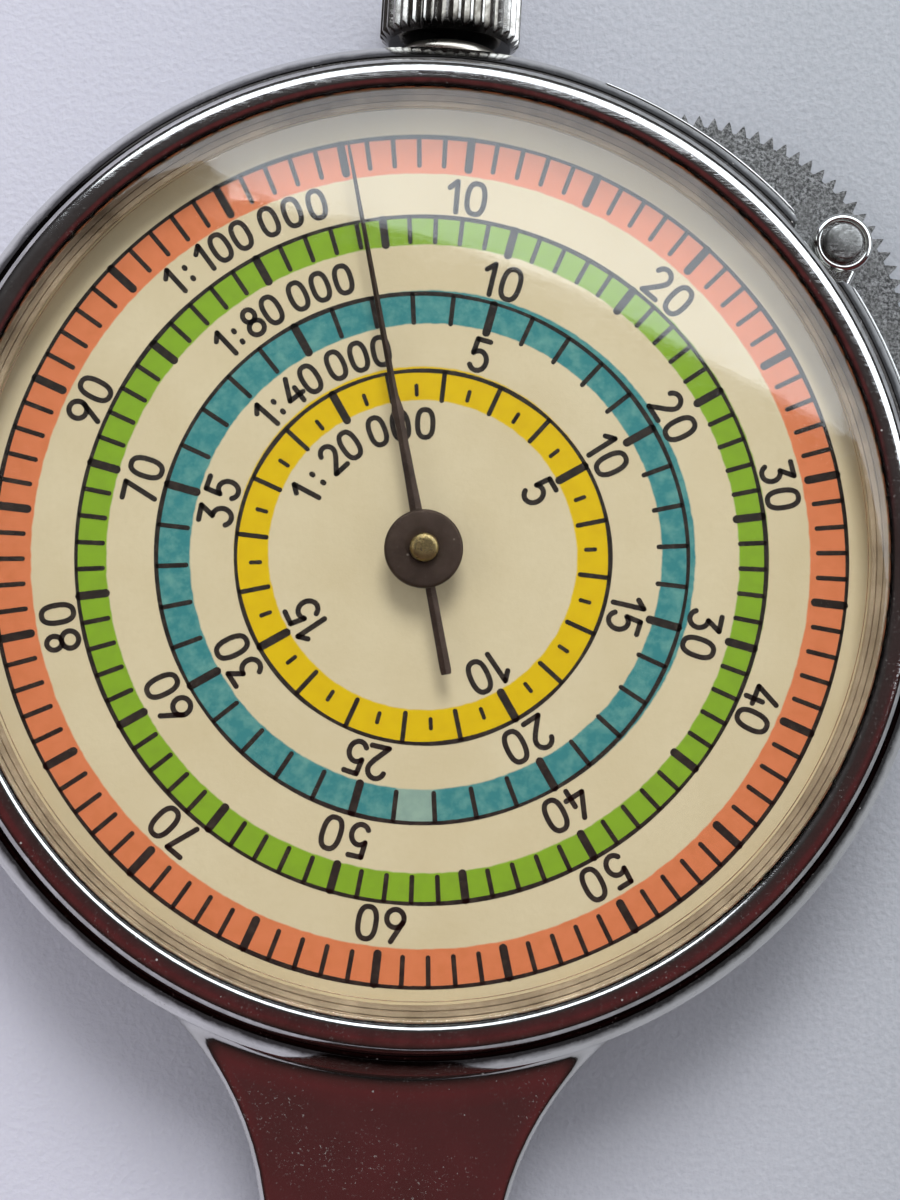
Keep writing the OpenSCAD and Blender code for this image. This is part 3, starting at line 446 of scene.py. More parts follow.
def metal(name, colour, dull, gloss, matt, haze_size=0.4, hairlines=1.0, dust=0.6, relief=0.05, speck=DUST,
          shade_rings=(), over=7.4):
    """A metal with its clean and its dull colour, and roughness from gloss to matt where the haze lies.
    Rings of painted shade darken it round the dial's axis, over a height, each with its radius, half width
    and depth of tone."""
    material, tree, surface_out = blank(name)
    place = millimetres(tree)
    marks = worn(tree, place, haze_size, hairlines, dust)
    base = mixed(tree, marks["Haze"], colour, dull)
    if shade_rings:
        ragged = noise(tree, place, 1.4, 4.0, 0.7)
        radius = calc(tree, "ADD", off_axis(tree, place), between(tree, ragged, 0.3, 0.7, -0.06, 0.06))
        above = between(tree, put(tree, "SeparateXYZ", {0: place}).outputs[2], over, over + 0.3)
        for middle, half, tone in shade_rings:
            off = calc(tree, "ABSOLUTE", calc(tree, "SUBTRACT", radius, middle))
            # Painted shade: each ring darkens the metal towards near black where a gap or edge would lie in
            # shade
            shade_mask = calc(tree, "MULTIPLY", between(tree, off, 0.0, half, tone, 0.0), above)
            base = mixed(tree, shade_mask, base, SHADE_DARK)
    base = mixed(tree, calc(tree, "MULTIPLY", marks["Hairline"], 0.2), base, dull)
    base = mixed(tree, marks["Speck"], base, speck)
    rough = between(tree, marks["Haze"], 0.0, 1.0, gloss, matt)
    marked = calc(tree, "MAXIMUM", marks["Hairline"], marks["Speck"])
    rough = calc(tree, "ADD", rough, calc(tree, "MULTIPLY", marked, 0.12))
    bare = calc(tree, "SUBTRACT", 1.0, marks["Speck"])
    normal = bumped(tree, marks["Height"], relief)
    shaded(tree, surface_out, {"Base Color": base, "Roughness": rough, "Metallic": bare, "Normal": normal})
    return material


def dress(piece, material, body, slot, *stands_for):
    """Gives a new piece its material and its body, and hides the nodes it stands for. The slot is not used.
    """
    piece.data.materials.clear()
    piece.data.materials.append(material)
    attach(piece, body)
    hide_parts(*stands_for)


# Painted shade at the bezel-band gap and the bezel's inner edge, and a painted dark reflection on the rim
SHADE_RINGS = ((20.08, 0.34, 1.0), (18.74, 0.16, 0.8), (20.32, 0.42, 1.5))
PLATE = metal("plated_case", (0.72, 0.715, 0.69, 1), (0.58, 0.575, 0.54, 1), 0.05, 0.13,
              haze_size=0.35, hairlines=0.35, dust=0.9, relief=0.03, shade_rings=SHADE_RINGS)
case = surface("case_shell", [case_band(), handle(), lug_eye(), lug_web()])
dress(case, PLATE, "case", "plated_metal", "case_body")

# The back: a stamped cover of the same plated brass, snapped into the band, with a flat rest and a rolled
# edge. It was spun on a lathe, so its face has fine rings.
REST_R = 16.5
BACK_EDGE = 20.3
BACK_RISE = 0.78
share = np.linspace(0.06, 0.98, 14)
cover_profile = np.vstack([
    [[0, 0], [6, 0], [11, 0], [REST_R - 0.15, 0], [REST_R, 0.008]],
    np.stack([REST_R + (BACK_EDGE - REST_R) * share, BACK_RISE * (1 - np.sqrt(1 - share ** 2.6))], axis=1),
    [[BACK_EDGE, BACK_RISE], [BACK_EDGE, BAND_LOW], [19.72, BAND_LOW], [19.72, 2.2], [19.17, 2.2]],
    [[19.17, 0.84], [18.77, 0.71], [REST_R, 0.55], [0, 0.55]],
])


def ringed_metal(name, colour, dull, gloss, matt, ring_scale, depth, metallic=1.0):
    """A metal turned on a lathe: fine rings about an upright axis, as well as the marks of handling."""
    material, tree, surface_out = blank(name)
    place = millimetres(tree)
    radius = calc(tree, "MULTIPLY", off_axis(tree, place), ring_scale)
    rings = noise(tree, put(tree, "CombineXYZ", {"X": radius}).outputs[0], 1.0, 5.0, 0.7)
    marks = worn(tree, place, 0.3, 1.0, 0.7)
    base = mixed(tree, marks["Haze"], colour, dull)
    base = mixed(tree, between(tree, rings, 0.4, 0.7, 0.0, 0.25), base, dull)
    rough = between(tree, marks["Haze"], 0, 1, gloss, matt)
    rough = calc(tree, "ADD", rough, between(tree, rings, 0.35, 0.7, 0.0, 0.12))
    height = calc(tree, "ADD", marks["Height"], calc(tree, "MULTIPLY", rings, 0.8))
    shaded(tree, surface_out, {
        "Base Color": base, "Roughness": rough, "Metallic": metallic, "Normal": bumped(tree, height, depth),
    })
    return material


BACK = ringed_metal("plated_back", (0.70, 0.69, 0.67, 1), (0.55, 0.54, 0.51, 1), 0.12, 0.26, 3.0, 0.05)
back = surface("back_plate_cover", [turned(cover_profile, columns=360)])
dress(back, BACK, "case", "plated_metal", "back_cover")

# The movement: brass plates, gears and bushes, steel arbors, screws and stem, copper feet under the dial.
# They keep the shapes of the frame, as none shows but through the slot.
BRASS = ringed_metal("brass_plate", shade(205, 168, 92), shade(150, 116, 60), 0.22, 0.4, 6.0, 0.08)
GEAR_BRASS = metal("brass_gear", shade(214, 178, 100), shade(158, 122, 62), 0.2, 0.38, 0.9, 0.8, 0.4, 0.1)
STEEL = metal("steel_parts", (0.46, 0.46, 0.48, 1), (0.30, 0.30, 0.32, 1), 0.18, 0.34, 1.2, 1.0, 0.3, 0.08)
BLUED = metal("screw_steel", (0.34, 0.35, 0.40, 1), (0.20, 0.21, 0.26, 1), 0.2, 0.36, 1.5, 1.0, 0.3, 0.08)
COPPER = metal("copper_feet", shade(196, 116, 80), shade(132, 74, 52), 0.28, 0.46, 1.0, 0.8, 0.4, 0.1)
kept = (
    (BRASS, "front_plate", "back_plate", "dial_plate"),
    (GEAR_BRASS, "pillars", "wheel_bushes", "intermediate_bushes", "centre_bushes", "stem_bearing"),
    (GEAR_BRASS, "wheel_hub", "wheel_pinion", "intermediate_collet", "intermediate_gear"),
    (GEAR_BRASS, "intermediate_pinion", "centre_gear", "centre_collet", "contrate_wheel"),
    (BLUED, "front_plate_screws", "back_plate_screws", "case_screws", "stem_bearing_screws"),
    (STEEL, "wheel_arbor", "intermediate_arbor", "crown_stem", "stem_pinion", "stem_collar"),
    (COPPER, "dial_feet"),
)
for material, *names in kept:
    for name in names:
        nodes[name].data.materials.clear()
        nodes[name].data.materials.append(material)

# The tracing wheel: a steel disc with a hundred V teeth cut round a bevelled rim. It runs along the map and
# is left dull, with a sandy grain.
TRACE_R = 10.61
TRACE_ROOT = TRACE_R - 0.5
TRACE_MID = 3.15
TRACE_HALF = 0.55
TRACE_RIM = 0.25
BEVEL_R = TRACE_R - 1.7
hub_bore = (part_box("wheel_arbor")[1].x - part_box("wheel_arbor")[0].x) / 2 / MM + 0.6


def toothed_disc():
    """The rim's radius rises and falls in straight flanks round the turn, a hundred times. The bevel's
    height falls in a straight line from the flat face to the rim."""
    teeth, parts = 100, 8
    step = np.arange(teeth * parts)
    turn = (2 * np.pi * step / (teeth * parts))[:, None]
    flank = np.abs((step % parts) / parts * 2 - 1)
    tip = (TRACE_R - (TRACE_R - TRACE_ROOT) * np.clip((1 - flank) * 1.5 - 0.1, 0, 1))[:, None]
    inner = np.array([hub_bore, BEVEL_R - 0.06, BEVEL_R + 0.06, TRACE_ROOT - 0.25])[None, :] + 0 * turn
    upper = np.concatenate([inner, tip - 0.04, tip], axis=1)
    fall = np.clip((upper - BEVEL_R) / (TRACE_R + 0.1 - BEVEL_R), 0, 1)
    high = TRACE_HALF - (TRACE_HALF - TRACE_RIM) * fall
    high[:, -1] -= 0.04
    radius = np.concatenate([upper, upper[:, ::-1]], axis=1)
    z = TRACE_MID + np.concatenate([high, -high[:, ::-1]], axis=1)
    x = TRACE_AT[0] + radius * np.cos(turn)
    y = TRACE_AT[1] + radius * np.sin(turn)
    return (np.stack([x, y, z], axis=-1), True, True, None)


def sandy_steel():
    """Dull steel with a sandy grain: dark pits between lighter grains, and patches where both fade."""
    material, tree, surface_out = blank("sandy_steel")
    place = millimetres(tree)
    grain = noise(tree, place, 7.0, 5.0, 0.75)
    coarse = noise(tree, place, 1.1, 4.0, 0.6)
    base = mixed(tree, between(tree, grain, 0.42, 0.62), (0.05, 0.05, 0.048, 1), (0.40, 0.40, 0.39, 1))
    base = mixed(tree, between(tree, coarse, 0.4, 0.7, 0.0, 0.6), base, (0.16, 0.158, 0.15, 1))
    rough = between(tree, grain, 0.3, 0.7, 0.62, 0.42)
    height = calc(tree, "ADD", grain, calc(tree, "MULTIPLY", coarse, 0.3))
    shaded(tree, surface_out, {
        "Base Color": base, "Roughness": rough, "Metallic": 0.7, "Normal": bumped(tree, height, 0.8),
    })
    return material


wheel = surface("tracing_wheel_disc", [toothed_disc()], sharp=25)
dress(wheel, sandy_steel(), "wheel_set", "wheel_steel", "tracing_wheel")

# The dial: a cream card on a brass plate. Four coloured scales are printed round one another in five inks,
# and the colours don't quite meet their black lines.
DIAL_Z = 7.35
DIAL_R = 18.9
CARD_Z = 7.23
ZERO = 122.7
PRINT_AT = (0.06, -0.14)
PRINT_SIZE = 0.9915
# Each scale's line has a radius, a number of ticks and a length of tick
SCALES = {
    "orange": (17.50, 100, 1.16),
    "green": (14.14, 80, 1.02),
    "blue": (10.90, 40, 1.16),
    "yellow": (7.68, 20, 1.16),
}
BLUE_FROM = 9.45
PRINT_SHEEN = 0.2


def make_colour_ring():
    """A printed ring of one ink as a mask: its inner and outer edge, how far it spills to the right and up
    past its line, and a slightly ragged edge."""
    tree, given, out = new_group(
        "colour_ring",
        [("Vector", "Vector", None), ("Right", "Float", 0.0), ("Up", "Float", 0.0), ("Inner", "Float", 1.0),
         ("Outer", "Float", 2.0)],
        [("Mask", "Float")],
    )
    spill = put(tree, "CombineXYZ", {"X": given["Right"], "Y": given["Up"]}).outputs[0]
    radius = off_axis(tree, given["Vector"])
    toward = put(tree, "VectorMath", {0: given["Vector"], 1: spill}, operation="DOT_PRODUCT").outputs["Value"]
    toward = calc(tree, "MAXIMUM", calc(tree, "DIVIDE", toward, calc(tree, "MAXIMUM", radius, 0.1)), 0.0)
    radius = calc(tree, "SUBTRACT", radius, toward)
    ragged = noise(tree, given["Vector"], 2.2, 3.0)
    radius = calc(tree, "ADD", radius, calc(tree, "MULTIPLY", calc(tree, "SUBTRACT", ragged, 0.5), 0.1))
    inside = between(tree, calc(tree, "SUBTRACT", radius, given["Inner"]), -0.03, 0.03)
    outside = between(tree, calc(tree, "SUBTRACT", given["Outer"], radius), -0.03, 0.03)
    tree.links.new(calc(tree, "MULTIPLY", inside, outside), out["Mask"])
    return tree


COLOUR_RING = make_colour_ring()


def dial_paper():
    """Cream paper with a faint cloudiness and fibres, and four inks laid over it, each slightly uneven. The
    blue ring has one pale cell."""
    material, tree, surface_out = blank("dial_paper")
    place = millimetres(tree, shift=(-PRINT_AT[0], -PRINT_AT[1], 0))
    cloud = noise(tree, place, 0.22, 5.0, 0.6)
    fibre = noise(tree, place, 4.5, 4.0, 0.7)
    mottle = noise(tree, place, 1.5, 4.0, 0.65)
    base = mixed(tree, between(tree, cloud, 0.3, 0.7), shade(221, 209, 176), shade(212, 198, 162))
    base = mixed(tree, between(tree, fibre, 0.45, 0.75, 0.0, 0.25), base, shade(198, 184, 142))
    axes = put(tree, "SeparateXYZ", {0: place}).outputs
    round_turn = calc(tree, "MULTIPLY", calc(tree, "ARCTAN2", axes[1], axes[0]), 180 / math.pi)
    pale_cell = calc(tree, "LESS_THAN", calc(tree, "ABSOLUTE", calc(tree, "ADD", round_turn, 88.9)), 4.5)
    inks = (
        ((0.0, 0.0), 15.82, 17.36, shade(222, 130, 86), shade(208, 118, 72), 0.6),
        ((0.1, 0.05), 12.8, 14.02, shade(132, 172, 38), shade(122, 158, 40), 0.6),
        ((0.27, 0.13), BLUE_FROM, 10.82, shade(52, 130, 134), shade(98, 158, 152), 1.0),
        ((-0.05, 0.14), 6.25, 7.64, shade(224, 190, 0), shade(210, 172, 0), 0.5),
    )
    for (right, up), inner, outer, full, thin, uneven in inks:
        ring = put(tree, "Group", node_tree=COLOUR_RING)
        tree.links.new(place, ring.inputs["Vector"])
        for label, value in (("Right", right), ("Up", up), ("Inner", inner), ("Outer", outer)):
            ring.inputs[label].default_value = value
        ink = mixed(tree, between(tree, mottle, 0.42, 0.68, 0.0, uneven), full, thin)
        if inner == BLUE_FROM:
            ink = mixed(tree, calc(tree, "MULTIPLY", pale_cell, 0.45), ink, shade(190, 200, 176))
        base = mixed(tree, ring.outputs["Mask"], base, ink)
    rough = between(tree, fibre, 0.3, 0.7, 0.5, 0.62)
    shaded(tree, surface_out, {
        "Base Color": base, "Roughness": rough, "Specular IOR Level": PRINT_SHEEN,
        "Normal": bumped(tree, fibre, 0.12),
    })
    return material


CARD_HOLE = 1.0
CARD_EDGE = 0.02
card = surface("dial_card_face", [turned([
    (CARD_HOLE, CARD_Z), (DIAL_R, CARD_Z), (DIAL_R, DIAL_Z - CARD_EDGE), (DIAL_R - CARD_EDGE, DIAL_Z),
    (CARD_HOLE + CARD_EDGE, DIAL_Z), (CARD_HOLE, DIAL_Z - CARD_EDGE),
], columns=256)])
dress(card, dial_paper(), "case", "dial_print", "dial_card")

INK_LOW = DIAL_Z - 0.004
INK_TOP = DIAL_Z + 0.008
LINE_HALF = 0.085
TICK_HALF = 0.098
THICK_TICK_HALF = 0.17
FIGURE_HIGH = 1.52
FIGURE_HALF = 0.11
FIGURE_STEP = 1.13
RATIO_HIGH = 1.37
RATIO_HALF = 0.108


def stroke(path, half):
    """A flat bar of ink along a path: left and right edges stand half a width from it, square to its run,
    and the ends close in a round. A path that returns to its start has no ends."""
    path = np.asarray(path, float)
    loop = np.allclose(path[0], path[-1])
    if loop:
        path = path[:-1]
        run = np.roll(path, -1, axis=0) - np.roll(path, 1, axis=0)
        width = np.full(len(path), half)
    else:
        first, last = path[0] - path[1], path[-1] - path[-2]
        first, last = first / np.linalg.norm(first), last / np.linalg.norm(last)
        cap = np.array([1.0, 0.8, 0.4])
        start = path[0] + first * half * cap[:, None]
        end = path[-1] + last * half * cap[::-1, None]
        path = np.vstack([start, path, end])
        width = np.full(len(path), half)
        width[:3] = half * np.array([0.0, 0.6, 0.917])
        width[-3:] = width[:3][::-1]
        run = np.gradient(path, axis=0)
    run /= np.linalg.norm(run, axis=1)[:, None]
    side = np.stack([-run[:, 1], run[:, 0]], axis=1) * width[:, None]
    flat = np.stack([path + side, path - side, path - side, path + side], axis=1)
    z = np.broadcast_to(np.array([INK_TOP, INK_TOP, INK_LOW, INK_LOW])[None, :, None], flat.shape[:2] + (1,))
    return (np.concatenate([flat, z], axis=-1), loop, True, None)


def oval(x, y, half_wide, half_high, start=0, end=360, count=25, square=2.0):
    """Points on a squared oval about (x, y), from one angle in degrees to another."""
    angle = np.radians(np.linspace(start, end, count))
    c, s = np.cos(angle), np.sin(angle)
    return np.stack([x + half_wide * np.sign(c) * np.abs(c) ** (2 / square),
                     y + half_high * np.sign(s) * np.abs(s) ** (2 / square)], axis=1)


def line(first, last):
    """A straight line from one point to another, with points between them."""
    first = np.array(first, float)
    return first + (np.array(last, float) - first) * np.linspace(0, 1, 4)[:, None]


SIGNS = {
    "0": [oval(0, 0.5, 0.275, 0.5, count=33, square=2.5)],
    "1": [line((0.08, 0), (0.08, 1)), line((0.08, 1), (-0.16, 0.78))],
    "2": [np.vstack([oval(0, 0.73, 0.26, 0.27, 165, -32, 14), line((0.12, 0.44), (-0.25, 0.02))]),
          line((-0.27, 0), (0.28, 0))],
    "3": [line((-0.24, 1), (0.23, 1)), line((0.23, 1), (-0.03, 0.6)),
          oval(-0.02, 0.3, 0.27, 0.3, 92, -150, 18)],
    "4": [line((0.06, 1), (-0.29, 0.27)), line((-0.29, 0.27), (0.29, 0.27)), line((0.13, 0.56), (0.13, 0))],
    "5": [line((0.22, 1), (-0.19, 1)), line((-0.19, 1), (-0.22, 0.56)),
          oval(-0.02, 0.32, 0.27, 0.32, 138, -145, 20)],
    "6": [oval(0, 0.28, 0.27, 0.28, count=25), line((-0.235, 0.4), (0.1, 1))],
    "7": [line((-0.26, 1), (0.26, 1)), line((0.26, 1), (-0.1, 0))],
    "8": [oval(0, 0.765, 0.215, 0.235, count=21), oval(0, 0.265, 0.27, 0.265, count=25)],
    "9": [oval(0, 0.72, 0.27, 0.28, count=25), line((0.235, 0.6), (-0.1, 0))],
    ":": [line((0, 0.14), (0, 0.2)), line((0, 0.62), (0, 0.68))],
}


def sign(character, radius, turn, high, half):
    """One character with its middle at a radius and a turn of the dial, its top outwards."""
    tall = high - 2 * half
    up = np.radians(turn)
    out = np.array([math.cos(up), math.sin(up)])
    right = np.array([math.sin(up), -math.cos(up)])
    grids = []
    for path in SIGNS[character]:
        x, y = path[:, :1] * tall, (path[:, 1:] - 0.5) * tall
        grids.append(stroke(out * (radius + y) + right * x, half))
    return grids


def dial_number(text, radius, turn, step):
    """A number of one or two figures, spread evenly about its own tick."""
    grids = []
    for place, character in enumerate(text):
        shift = math.degrees((place - (len(text) - 1) / 2) * step / radius)
        grids += sign(character, radius, turn - shift, FIGURE_HIGH, FIGURE_HALF)
    return grids


def ratio(text, radius, turns):
    """A scale's ratio set along its arc, one character at each turn."""
    grids = []
    for character, turn in zip(text, turns):
        grids += sign(character, radius, turn, RATIO_HIGH, RATIO_HALF)
    return grids


def tick(radius, deep, turn, half):
    """A radial bar from just inside its circle towards the middle."""
    way = np.array([math.cos(math.radians(turn)), math.sin(math.radians(turn))])
    reach = np.linspace(radius, radius - deep, 3)[:, None]
    return stroke(way * reach, half)


def circle_line(radius, half):
    """A printed circle, its width wavering a little as the ink ran."""
    turn = np.linspace(0, 2 * np.pi, 240, endpoint=False)
    waver = half * (1 + 0.12 * np.sin(5 * turn + radius) + 0.08 * np.sin(13 * turn))
    r = np.stack([radius + waver, radius - waver, radius - waver, radius + waver], axis=1)
    z = np.broadcast_to([INK_TOP, INK_TOP, INK_LOW, INK_LOW], r.shape)
    return (np.stack([r * np.cos(turn)[:, None], r * np.sin(turn)[:, None], z], axis=-1), True, True, None)


# Every fifth tick is thick, and the yellow scale has a short tick in the middle of each of its cells
print_grids = [circle_line(radius, LINE_HALF) for radius, _, _ in SCALES.values()]
for radius, count, deep in SCALES.values():
    for k in range(count):
        longer, half = (0.06, THICK_TICK_HALF) if k % 5 == 0 else (0, TICK_HALF)
        print_grids.append(tick(radius - 0.05, deep + longer, ZERO - 360 * k / count, half))
for k in range(20):
    print_grids.append(tick(7.06, 0.38, ZERO - 18 * (k + 0.5), LINE_HALF))
# Some numbers have their figures closer or wider, and some stand a little beside their tick
steps = {"10": 0.9, "15": 0.85, "25": 0.93, "40": 1.04, "70": 1.06, "35": 1.17, "90": 1.06}
slides = {"35": 0.75, "70": 0.6, "90": -0.25}
for radius, top, apart in ((15.05, 100, 10), (11.87, 80, 10), (8.65, 40, 5), (5.45, 20, 5)):
    for value in range(apart, top, apart):
        text = str(value)
        turn = ZERO - 360 * value / top + slides.get(text, 0)
        print_grids += dial_number(text, radius, turn, steps.get(text, FIGURE_STEP))
print_grids += ratio("1:100000", 15.25, (135.56, 132.94, 129.67, 126.58, 122.9, 118.06, 114.18, 110.17))
print_grids += ratio("1:80000", 11.93, (136.48, 133.43, 129.36, 124.93, 119.0, 114.24, 109.45))
print_grids += ratio("1:40000", 8.66, (141.7, 137.5, 131.75, 125.85, 117.9, 111.3, 105.0))
print_grids += ratio("1:20000", 5.48, (155.3, 147.1, 136.5, 126.9, 113.6, 103.3, 92.6))


def black_ink():
    """Matt black-brown ink, thinner here and there."""
    material, tree, surface_out = blank("black_ink")
    thin = noise(tree, millimetres(tree), 3.0, 4.0)
    base = mixed(tree, between(tree, thin, 0.45, 0.8), shade(26, 21, 18), shade(58, 50, 42))
    rough = between(tree, thin, 0.3, 0.7, 0.5, 0.7)
    shaded(tree, surface_out, {
        "Base Color": base, "Roughness": rough, "Specular IOR Level": PRINT_SHEEN,
        "Normal": bumped(tree, thin, 0.1),
    })
    return material


print_grids = [(points * [PRINT_SIZE, PRINT_SIZE, 1] + [*PRINT_AT, 0], loop, closed, keep)
               for points, loop, closed, keep in print_grids]
ink = surface("dial_print", print_grids, sharp=60)
dress(ink, black_ink(), "case", "dial_print", "dial_card")

# The rehaut: a lacquered ring between the dial's margin and the crystal. Its lip reaches in under the
# crystal's wall and is turned with fine grooves. Its profile gives z from the top down.
rehaut_foot = DIAL_Z - REHAUT_TOP
rehaut_profile = np.array([
    (18.94, rehaut_foot), (18.94, -0.01), (18.72, -0.01), (18.70, -0.05), (18.68, -0.01), (18.50, -0.02),
    (18.48, -0.07), (18.46, -0.02), (18.26, -0.03), (18.24, -0.08), (18.22, -0.03), (18.06, -0.04),
    (18.02, -0.08), (18.02, -0.18), (18.08, -0.24), (18.5, -0.4), (18.46, rehaut_foot),
]) + [0, REHAUT_TOP]
REHAUT = ringed_metal("lacquered_ring", shade(202, 182, 152), shade(108, 90, 66), 0.26, 0.4, 6.5, 0.16,
                      metallic=0.55)
dress(surface("rehaut", [turned(rehaut_profile, columns=360)]), REHAUT, "case", "rehaut", "rehaut_ring")

# The pointer: a blackened steel needle with a ridge along it, riveted under a round hub on the arbor.
POINTER_TURN = math.radians(103.7)
NEEDLE_Z = 8.4
HUB_Z = 8.58
POINTER_HUB_R = 1.58


def needle():
    """Half widths along the needle carry a gabled section: straight sides, then two slopes up to the
    ridge."""
    along, half = np.array([
        (-5.1, 0.14), (-5.08, 0.20), (-4.9, 0.225), (-3.0, 0.21), (-1.2, 0.2), (0.0, 0.22), (1.2, 0.26),
        (3.0, 0.215), (5.0, 0.19), (5.35, 0.2), (5.6, 0.235), (5.75, 0.24), (6.0, 0.2), (6.35, 0.145),
        (7.5, 0.13), (10, 0.115), (13, 0.095), (15.5, 0.075), (16.6, 0.06), (16.9, 0.04), (16.95, 0.015),
    ]).T
    ridge = np.where(along > 6.2, 0.16, 0.18)
    high = np.where(along > 6.2, 0.07, 0.10)
    width = np.stack([half, half, 0 * half, -half, -half], axis=1)
    z = NEEDLE_Z + np.stack([0 * high, high, ridge, high, 0 * high], axis=1)
    way = np.array([math.cos(POINTER_TURN), math.sin(POINTER_TURN)])
    beside = np.array([-way[1], way[0]])
    flat = along[:, None, None] * way + width[..., None] * beside
    points = np.concatenate([flat, z[..., None]], axis=-1)
    return (np.concatenate([pinched(points[:1]), points, pinched(points[-1:])]), False, True, None)


DARK = metal("blackened_steel", shade(74, 62, 55), shade(48, 40, 35), 0.42, 0.6, 1.0, 1.0, 0.5, 0.12,
             speck=shade(150, 140, 128))
dress(surface("needle", [needle()], sharp=12), DARK, "pointer_set", "pointer_metal", "pointer_needle")
hub_profile = np.vstack([
    [[0.57, HUB_Z], [POINTER_HUB_R - 0.04, HUB_Z]],
    arc((POINTER_HUB_R - 0.05, HUB_Z + 0.05), 0.05, -60, 0, 4),
    arc((POINTER_HUB_R - 0.13, HUB_Z + 0.32), 0.13, 0, 90, 7),
    [[0.9, HUB_Z + 0.45], [0.62, HUB_Z + 0.45], [0.57, HUB_Z + 0.42]],
])
hub = surface("pointer_disc", [turned(hub_profile, columns=96)])
dress(hub, DARK, "pointer_set", "pointer_metal", "pointer_hub")
arbor_low, arbor_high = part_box("centre_arbor")
foot_z = arbor_low.z / MM
tip_z = arbor_high.z / MM
arbor_profile = [
    (0, foot_z), (0.33, foot_z), (0.35, foot_z + 0.02), (0.35, 1.95), (0.57, 1.95), (0.57, tip_z - 0.14),
    (0.56, tip_z - 0.10), (0.52, tip_z - 0.05), (0.46, tip_z - 0.02), (0.3, tip_z - 0.01), (0, tip_z),
]
ARBOR = metal("arbor_tip", shade(168, 150, 104), shade(120, 104, 68), 0.2, 0.36, 1.6, 1.0, 0.6, 0.1)
arbor = surface("pointer_arbor", [turned(arbor_profile, columns=64)])
dress(arbor, ARBOR, "pointer_set", "arbor_metal", "centre_arbor")

# The crystal: a moulded clear plastic dome with a stepped edge that the bezel holds down.
CRYSTAL_TOP = 11.25
WALL_R = 18.67
STEP_TOP = 9.95
HOLLOW_R = 17.87
dome_r = (WALL_R ** 2 + (CRYSTAL_TOP - STEP_TOP) ** 2) / (2 * (CRYSTAL_TOP - STEP_TOP))


def dome(radius, top, reach, count):
    """Points on a ball's cap from the axis out to a reach."""
    r = np.linspace(0, reach, count)
    return np.stack([r, top - radius + np.sqrt(radius ** 2 - r ** 2)], axis=1)


crystal_profile = np.vstack([
    dome(dome_r, CRYSTAL_TOP, WALL_R - 0.12, 30),
    arc((WALL_R - 0.12, STEP_TOP - 0.11), 0.12, 80, 0, 6),
    [[WALL_R, 9.53], [19.4, 9.5], [19.4, REHAUT_TOP], [HOLLOW_R + 0.05, REHAUT_TOP]],
    dome(dome_r - 1.0, CRYSTAL_TOP - 1.0, HOLLOW_R, 30)[::-1],
])


def clear_plastic():
    """Clear acrylic that lets light straight through to the dial, with hairlines and dust on its top."""
    material, tree, surface_out = blank("clear_crystal")
    marks = worn(tree, millimetres(tree), 0.2, 0.8, 0.5)
    rough = calc(tree, "ADD", 0.015, calc(tree, "MULTIPLY", marks["Hairline"], 0.05))
    skin = put(tree, "BsdfPrincipled", {
        "Base Color": (0.985, 0.98, 0.965, 1), "Roughness": rough, "Metallic": 0.0,
        "Transmission Weight": 1.0, "IOR": 1.49, "Normal": bumped(tree, marks["Height"], 0.012),
    })
    rays = put(tree, "LightPath").outputs
    through = calc(tree, "MAXIMUM", rays["Is Shadow Ray"], rays["Is Diffuse Ray"])
    clear = put(tree, "BsdfTransparent", {"Color": (0.96, 0.955, 0.94, 1)})
    both = put(tree, "MixShader", {0: through, 1: skin.outputs[0], 2: clear.outputs[0]})
    tree.links.new(both.outputs[0], surface_out)
    return material


crystal = surface("crystal_dome", [turned(crystal_profile, columns=256)])
dress(crystal, clear_plastic(), "case", "crystal", "crystal")

# The bezel: a plated ring turned from brass and snapped over the neck, with a polished bead at its crest.
bezel_profile = np.vstack([
    [[19.5, 7.70], [19.52, 7.68], [19.93, 7.68], [19.95, 7.70], [19.95, 8.6], [19.95, 9.45]],
    arc((19.3, 9.48), 0.65, 3, 90, 16),
    arc((19.07, 9.79), 0.34, 91, 180, 16),
    [[18.72, 9.53], [18.75, 9.5], [19.5, 9.5]],
])
BEAD = metal("plated_bezel", (0.72, 0.705, 0.68, 1), (0.50, 0.485, 0.455, 1), 0.06, 0.14,
             haze_size=1.3, hairlines=0.35, dust=0.7, relief=0.065, shade_rings=SHADE_RINGS)
dress(surface("bezel_ring", [turned(bezel_profile, columns=360)]), BEAD, "case", "plated_metal", "bezel")

# The crown: a plated knob with V flutes that run out on a chamfer. It turns on a polished tube in the band.
CROWN_Y = 22.1
CROWN_R = 3.0
CROWN_LEN = 5.1
FLUTE = 0.28
STEM_Z = 4.5


def fluted():
    """Round the turn the radius rises in flats and falls in V flutes; along the axis it is held under two
    chamfers, so each flute ends in a point, and then it closes in a low dome."""
    flutes, parts = 36, 12
    step = np.arange(flutes * parts)
    turn = (2 * np.pi * step / (flutes * parts))[:, None]
    flank = np.abs((step % parts) / parts * 2 - 1)
    outer = (CROWN_R - FLUTE * np.clip((flank - 0.22) / 0.78, 0, 1) ** 0.9)[:, None]
    along = np.concatenate([
        [0, 0], np.linspace(0.02, 0.5, 13), [2.3], np.linspace(4.1, 4.6, 10),
        [4.72, 4.9, 5.02, 5.08, CROWN_LEN],
    ])
    chamfer = CROWN_R - 0.38 + np.minimum(along / 0.36, 1) * 0.42
    far = CROWN_R + 0.04 - np.clip((along - 4.25) / 0.35, 0, 1) * 0.4
    limit = np.minimum(chamfer, far)
    limit = np.where(along >= 4.6, 2.62 * np.sqrt(np.clip(1 - ((along - 4.55) / 0.551) ** 2, 0, 1)), limit)
    limit[0] = 0
    limit[-1] = 0
    radius = np.minimum(outer, limit[None, :])
    x = radius * np.cos(turn)
    z = STEM_Z + radius * np.sin(turn)
    y = np.broadcast_to(CROWN_Y + along, x.shape)
    return (np.stack([x, y, z], axis=-1), True, False, None)


